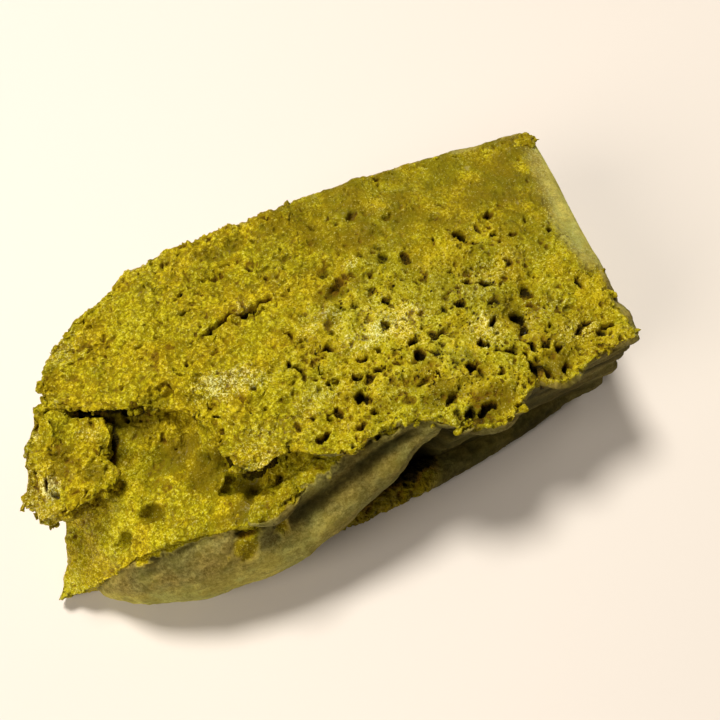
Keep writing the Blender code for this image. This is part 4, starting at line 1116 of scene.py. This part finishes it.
class CAKE_OT_torn_end(bpy.types.Operator):
    """Make the low ledge and the hanging lump at the torn end"""

    bl_idname = "cake.torn_end"
    bl_label = "Torn end"

    def execute(self, context):
        step = context.scene.cake_sizes.grid_step / MM
        add_piece(ledge_surface(step), "ledge", shared_material(context))
        add_piece(flap_surface(step), "flap", shared_material(context))
        return {"FINISHED"}


class CAKE_OT_crumbs(bpy.types.Operator):
    """Make the lumps and small crumbs along the torn edges"""

    bl_idname = "cake.crumbs"
    bl_label = "Lumps and crumbs"

    def execute(self, context):
        add_piece(lumps_surface(), "lumps", shared_material(context))
        add_piece(crumbs_surface(), "crumbs", shared_material(context))
        return {"FINISHED"}


class CAKE_OT_skin_fold(bpy.types.Operator):
    """Make the fold of skin and the thin roll under it"""

    bl_idname = "cake.skin_fold"
    bl_label = "Skin fold"

    def execute(self, context):
        step = context.scene.cake_sizes.grid_step / MM
        add_piece(fold_surface(step), "fold", shared_material(context))
        add_piece(roll_surface(step), "foot_roll", shared_material(context))
        return {"FINISHED"}


def aim(holder, target):
    """Turn a camera or lamp, whose own -Z looks ahead, towards a point."""
    ahead = Vector(target) - holder.location
    holder.rotation_euler = ahead.to_track_quat("-Z", "Y").to_euler()


def add_floor(scene):
    """A square of floor."""
    half = scene.cake_sizes.floor_size / 2.0
    mesh = bpy.data.meshes.new("floor")
    corners = [(-half, -half, 0.0), (half, -half, 0.0), (half, half, 0.0), (-half, half, 0.0)]
    mesh.from_pydata(corners, [], [(0, 1, 2, 3)])
    mesh.materials.append(floor_material(scene.cake_colours.floor))
    floor = bpy.data.objects.new("floor", mesh)
    scene.collection.objects.link(floor)


def add_lamp(scene, name, direction, size, watts, tint):
    """A round soft lamp looking at the cake from a direction."""
    lamp = bpy.data.lights.new(name, "AREA")
    lamp.shape = "DISK"
    lamp.size = size
    lamp.energy = watts
    lamp.color = tint
    holder = bpy.data.objects.new(name, lamp)
    direction = np.array(direction, float)
    holder.location = direction / np.linalg.norm(direction) * LAMP_DISTANCE
    aim(holder, (0.0, 0.0, 0.0))
    scene.collection.objects.link(holder)


def add_camera(scene):
    """The camera, at the photo's angle and distance."""
    camera = bpy.data.cameras.new("camera")
    camera.lens = CAMERA_LENS
    camera.sensor_width = 36.0
    camera.clip_start = 0.01
    holder = bpy.data.objects.new("camera", camera)
    holder.location = (np.array(CAMERA_AT) - ORIGIN) * MM
    aim(holder, (np.array(CAMERA_TARGET) - ORIGIN) * MM)
    scene.collection.objects.link(holder)
    scene.camera = holder


class CAKE_OT_stage(bpy.types.Operator):
    """Make the floor, the soft studio light and the camera"""

    bl_idname = "cake.stage"
    bl_label = "Stage"

    def execute(self, context):
        scene = context.scene
        add_floor(scene)
        scene.world = bpy.data.worlds.new("studio")
        scene.world.use_nodes = True
        room = scene.world.node_tree.nodes["Background"]
        room.inputs["Color"].default_value = ROOM_COLOUR
        room.inputs["Strength"].default_value = ROOM_STRENGTH
        for lamp in LAMPS:
            add_lamp(scene, *lamp)
        add_camera(scene)
        scene.view_settings.view_transform = "Standard"
        return {"FINISHED"}


class CAKE_PT_sidebar(bpy.types.Panel):
    """Lists the cake's pieces, sizes and colours"""

    bl_idname = "CAKE_PT_sidebar"
    bl_label = "Steamed cake"
    bl_space_type = "VIEW_3D"
    bl_region_type = "UI"
    bl_category = "Cake"

    def draw(self, context):
        for group in (context.scene.cake_sizes, context.scene.cake_colours):
            for key in group.__annotations__:
                self.layout.prop(group, key)
        for operator in PIECE_OPERATORS:
            self.layout.operator(operator.bl_idname)


PIECE_OPERATORS = (CAKE_OT_slab, CAKE_OT_torn_end, CAKE_OT_skin_fold, CAKE_OT_crumbs, CAKE_OT_stage)
CLASSES = (CakeSizes, CakeColours, *PIECE_OPERATORS, CAKE_PT_sidebar)


def register():
    for one in CLASSES:
        bpy.utils.register_class(one)
    bpy.types.Scene.cake_sizes = bpy.props.PointerProperty(type=CakeSizes)
    bpy.types.Scene.cake_colours = bpy.props.PointerProperty(type=CakeColours)


def unregister():
    del bpy.types.Scene.cake_colours
    del bpy.types.Scene.cake_sizes
    for one in reversed(CLASSES):
        bpy.utils.unregister_class(one)


def main():
    register()
    bpy.ops.cake.slab()
    bpy.ops.cake.torn_end()
    bpy.ops.cake.skin_fold()
    bpy.ops.cake.crumbs()
    bpy.ops.cake.stage()


if __name__ == "__main__":
    main()
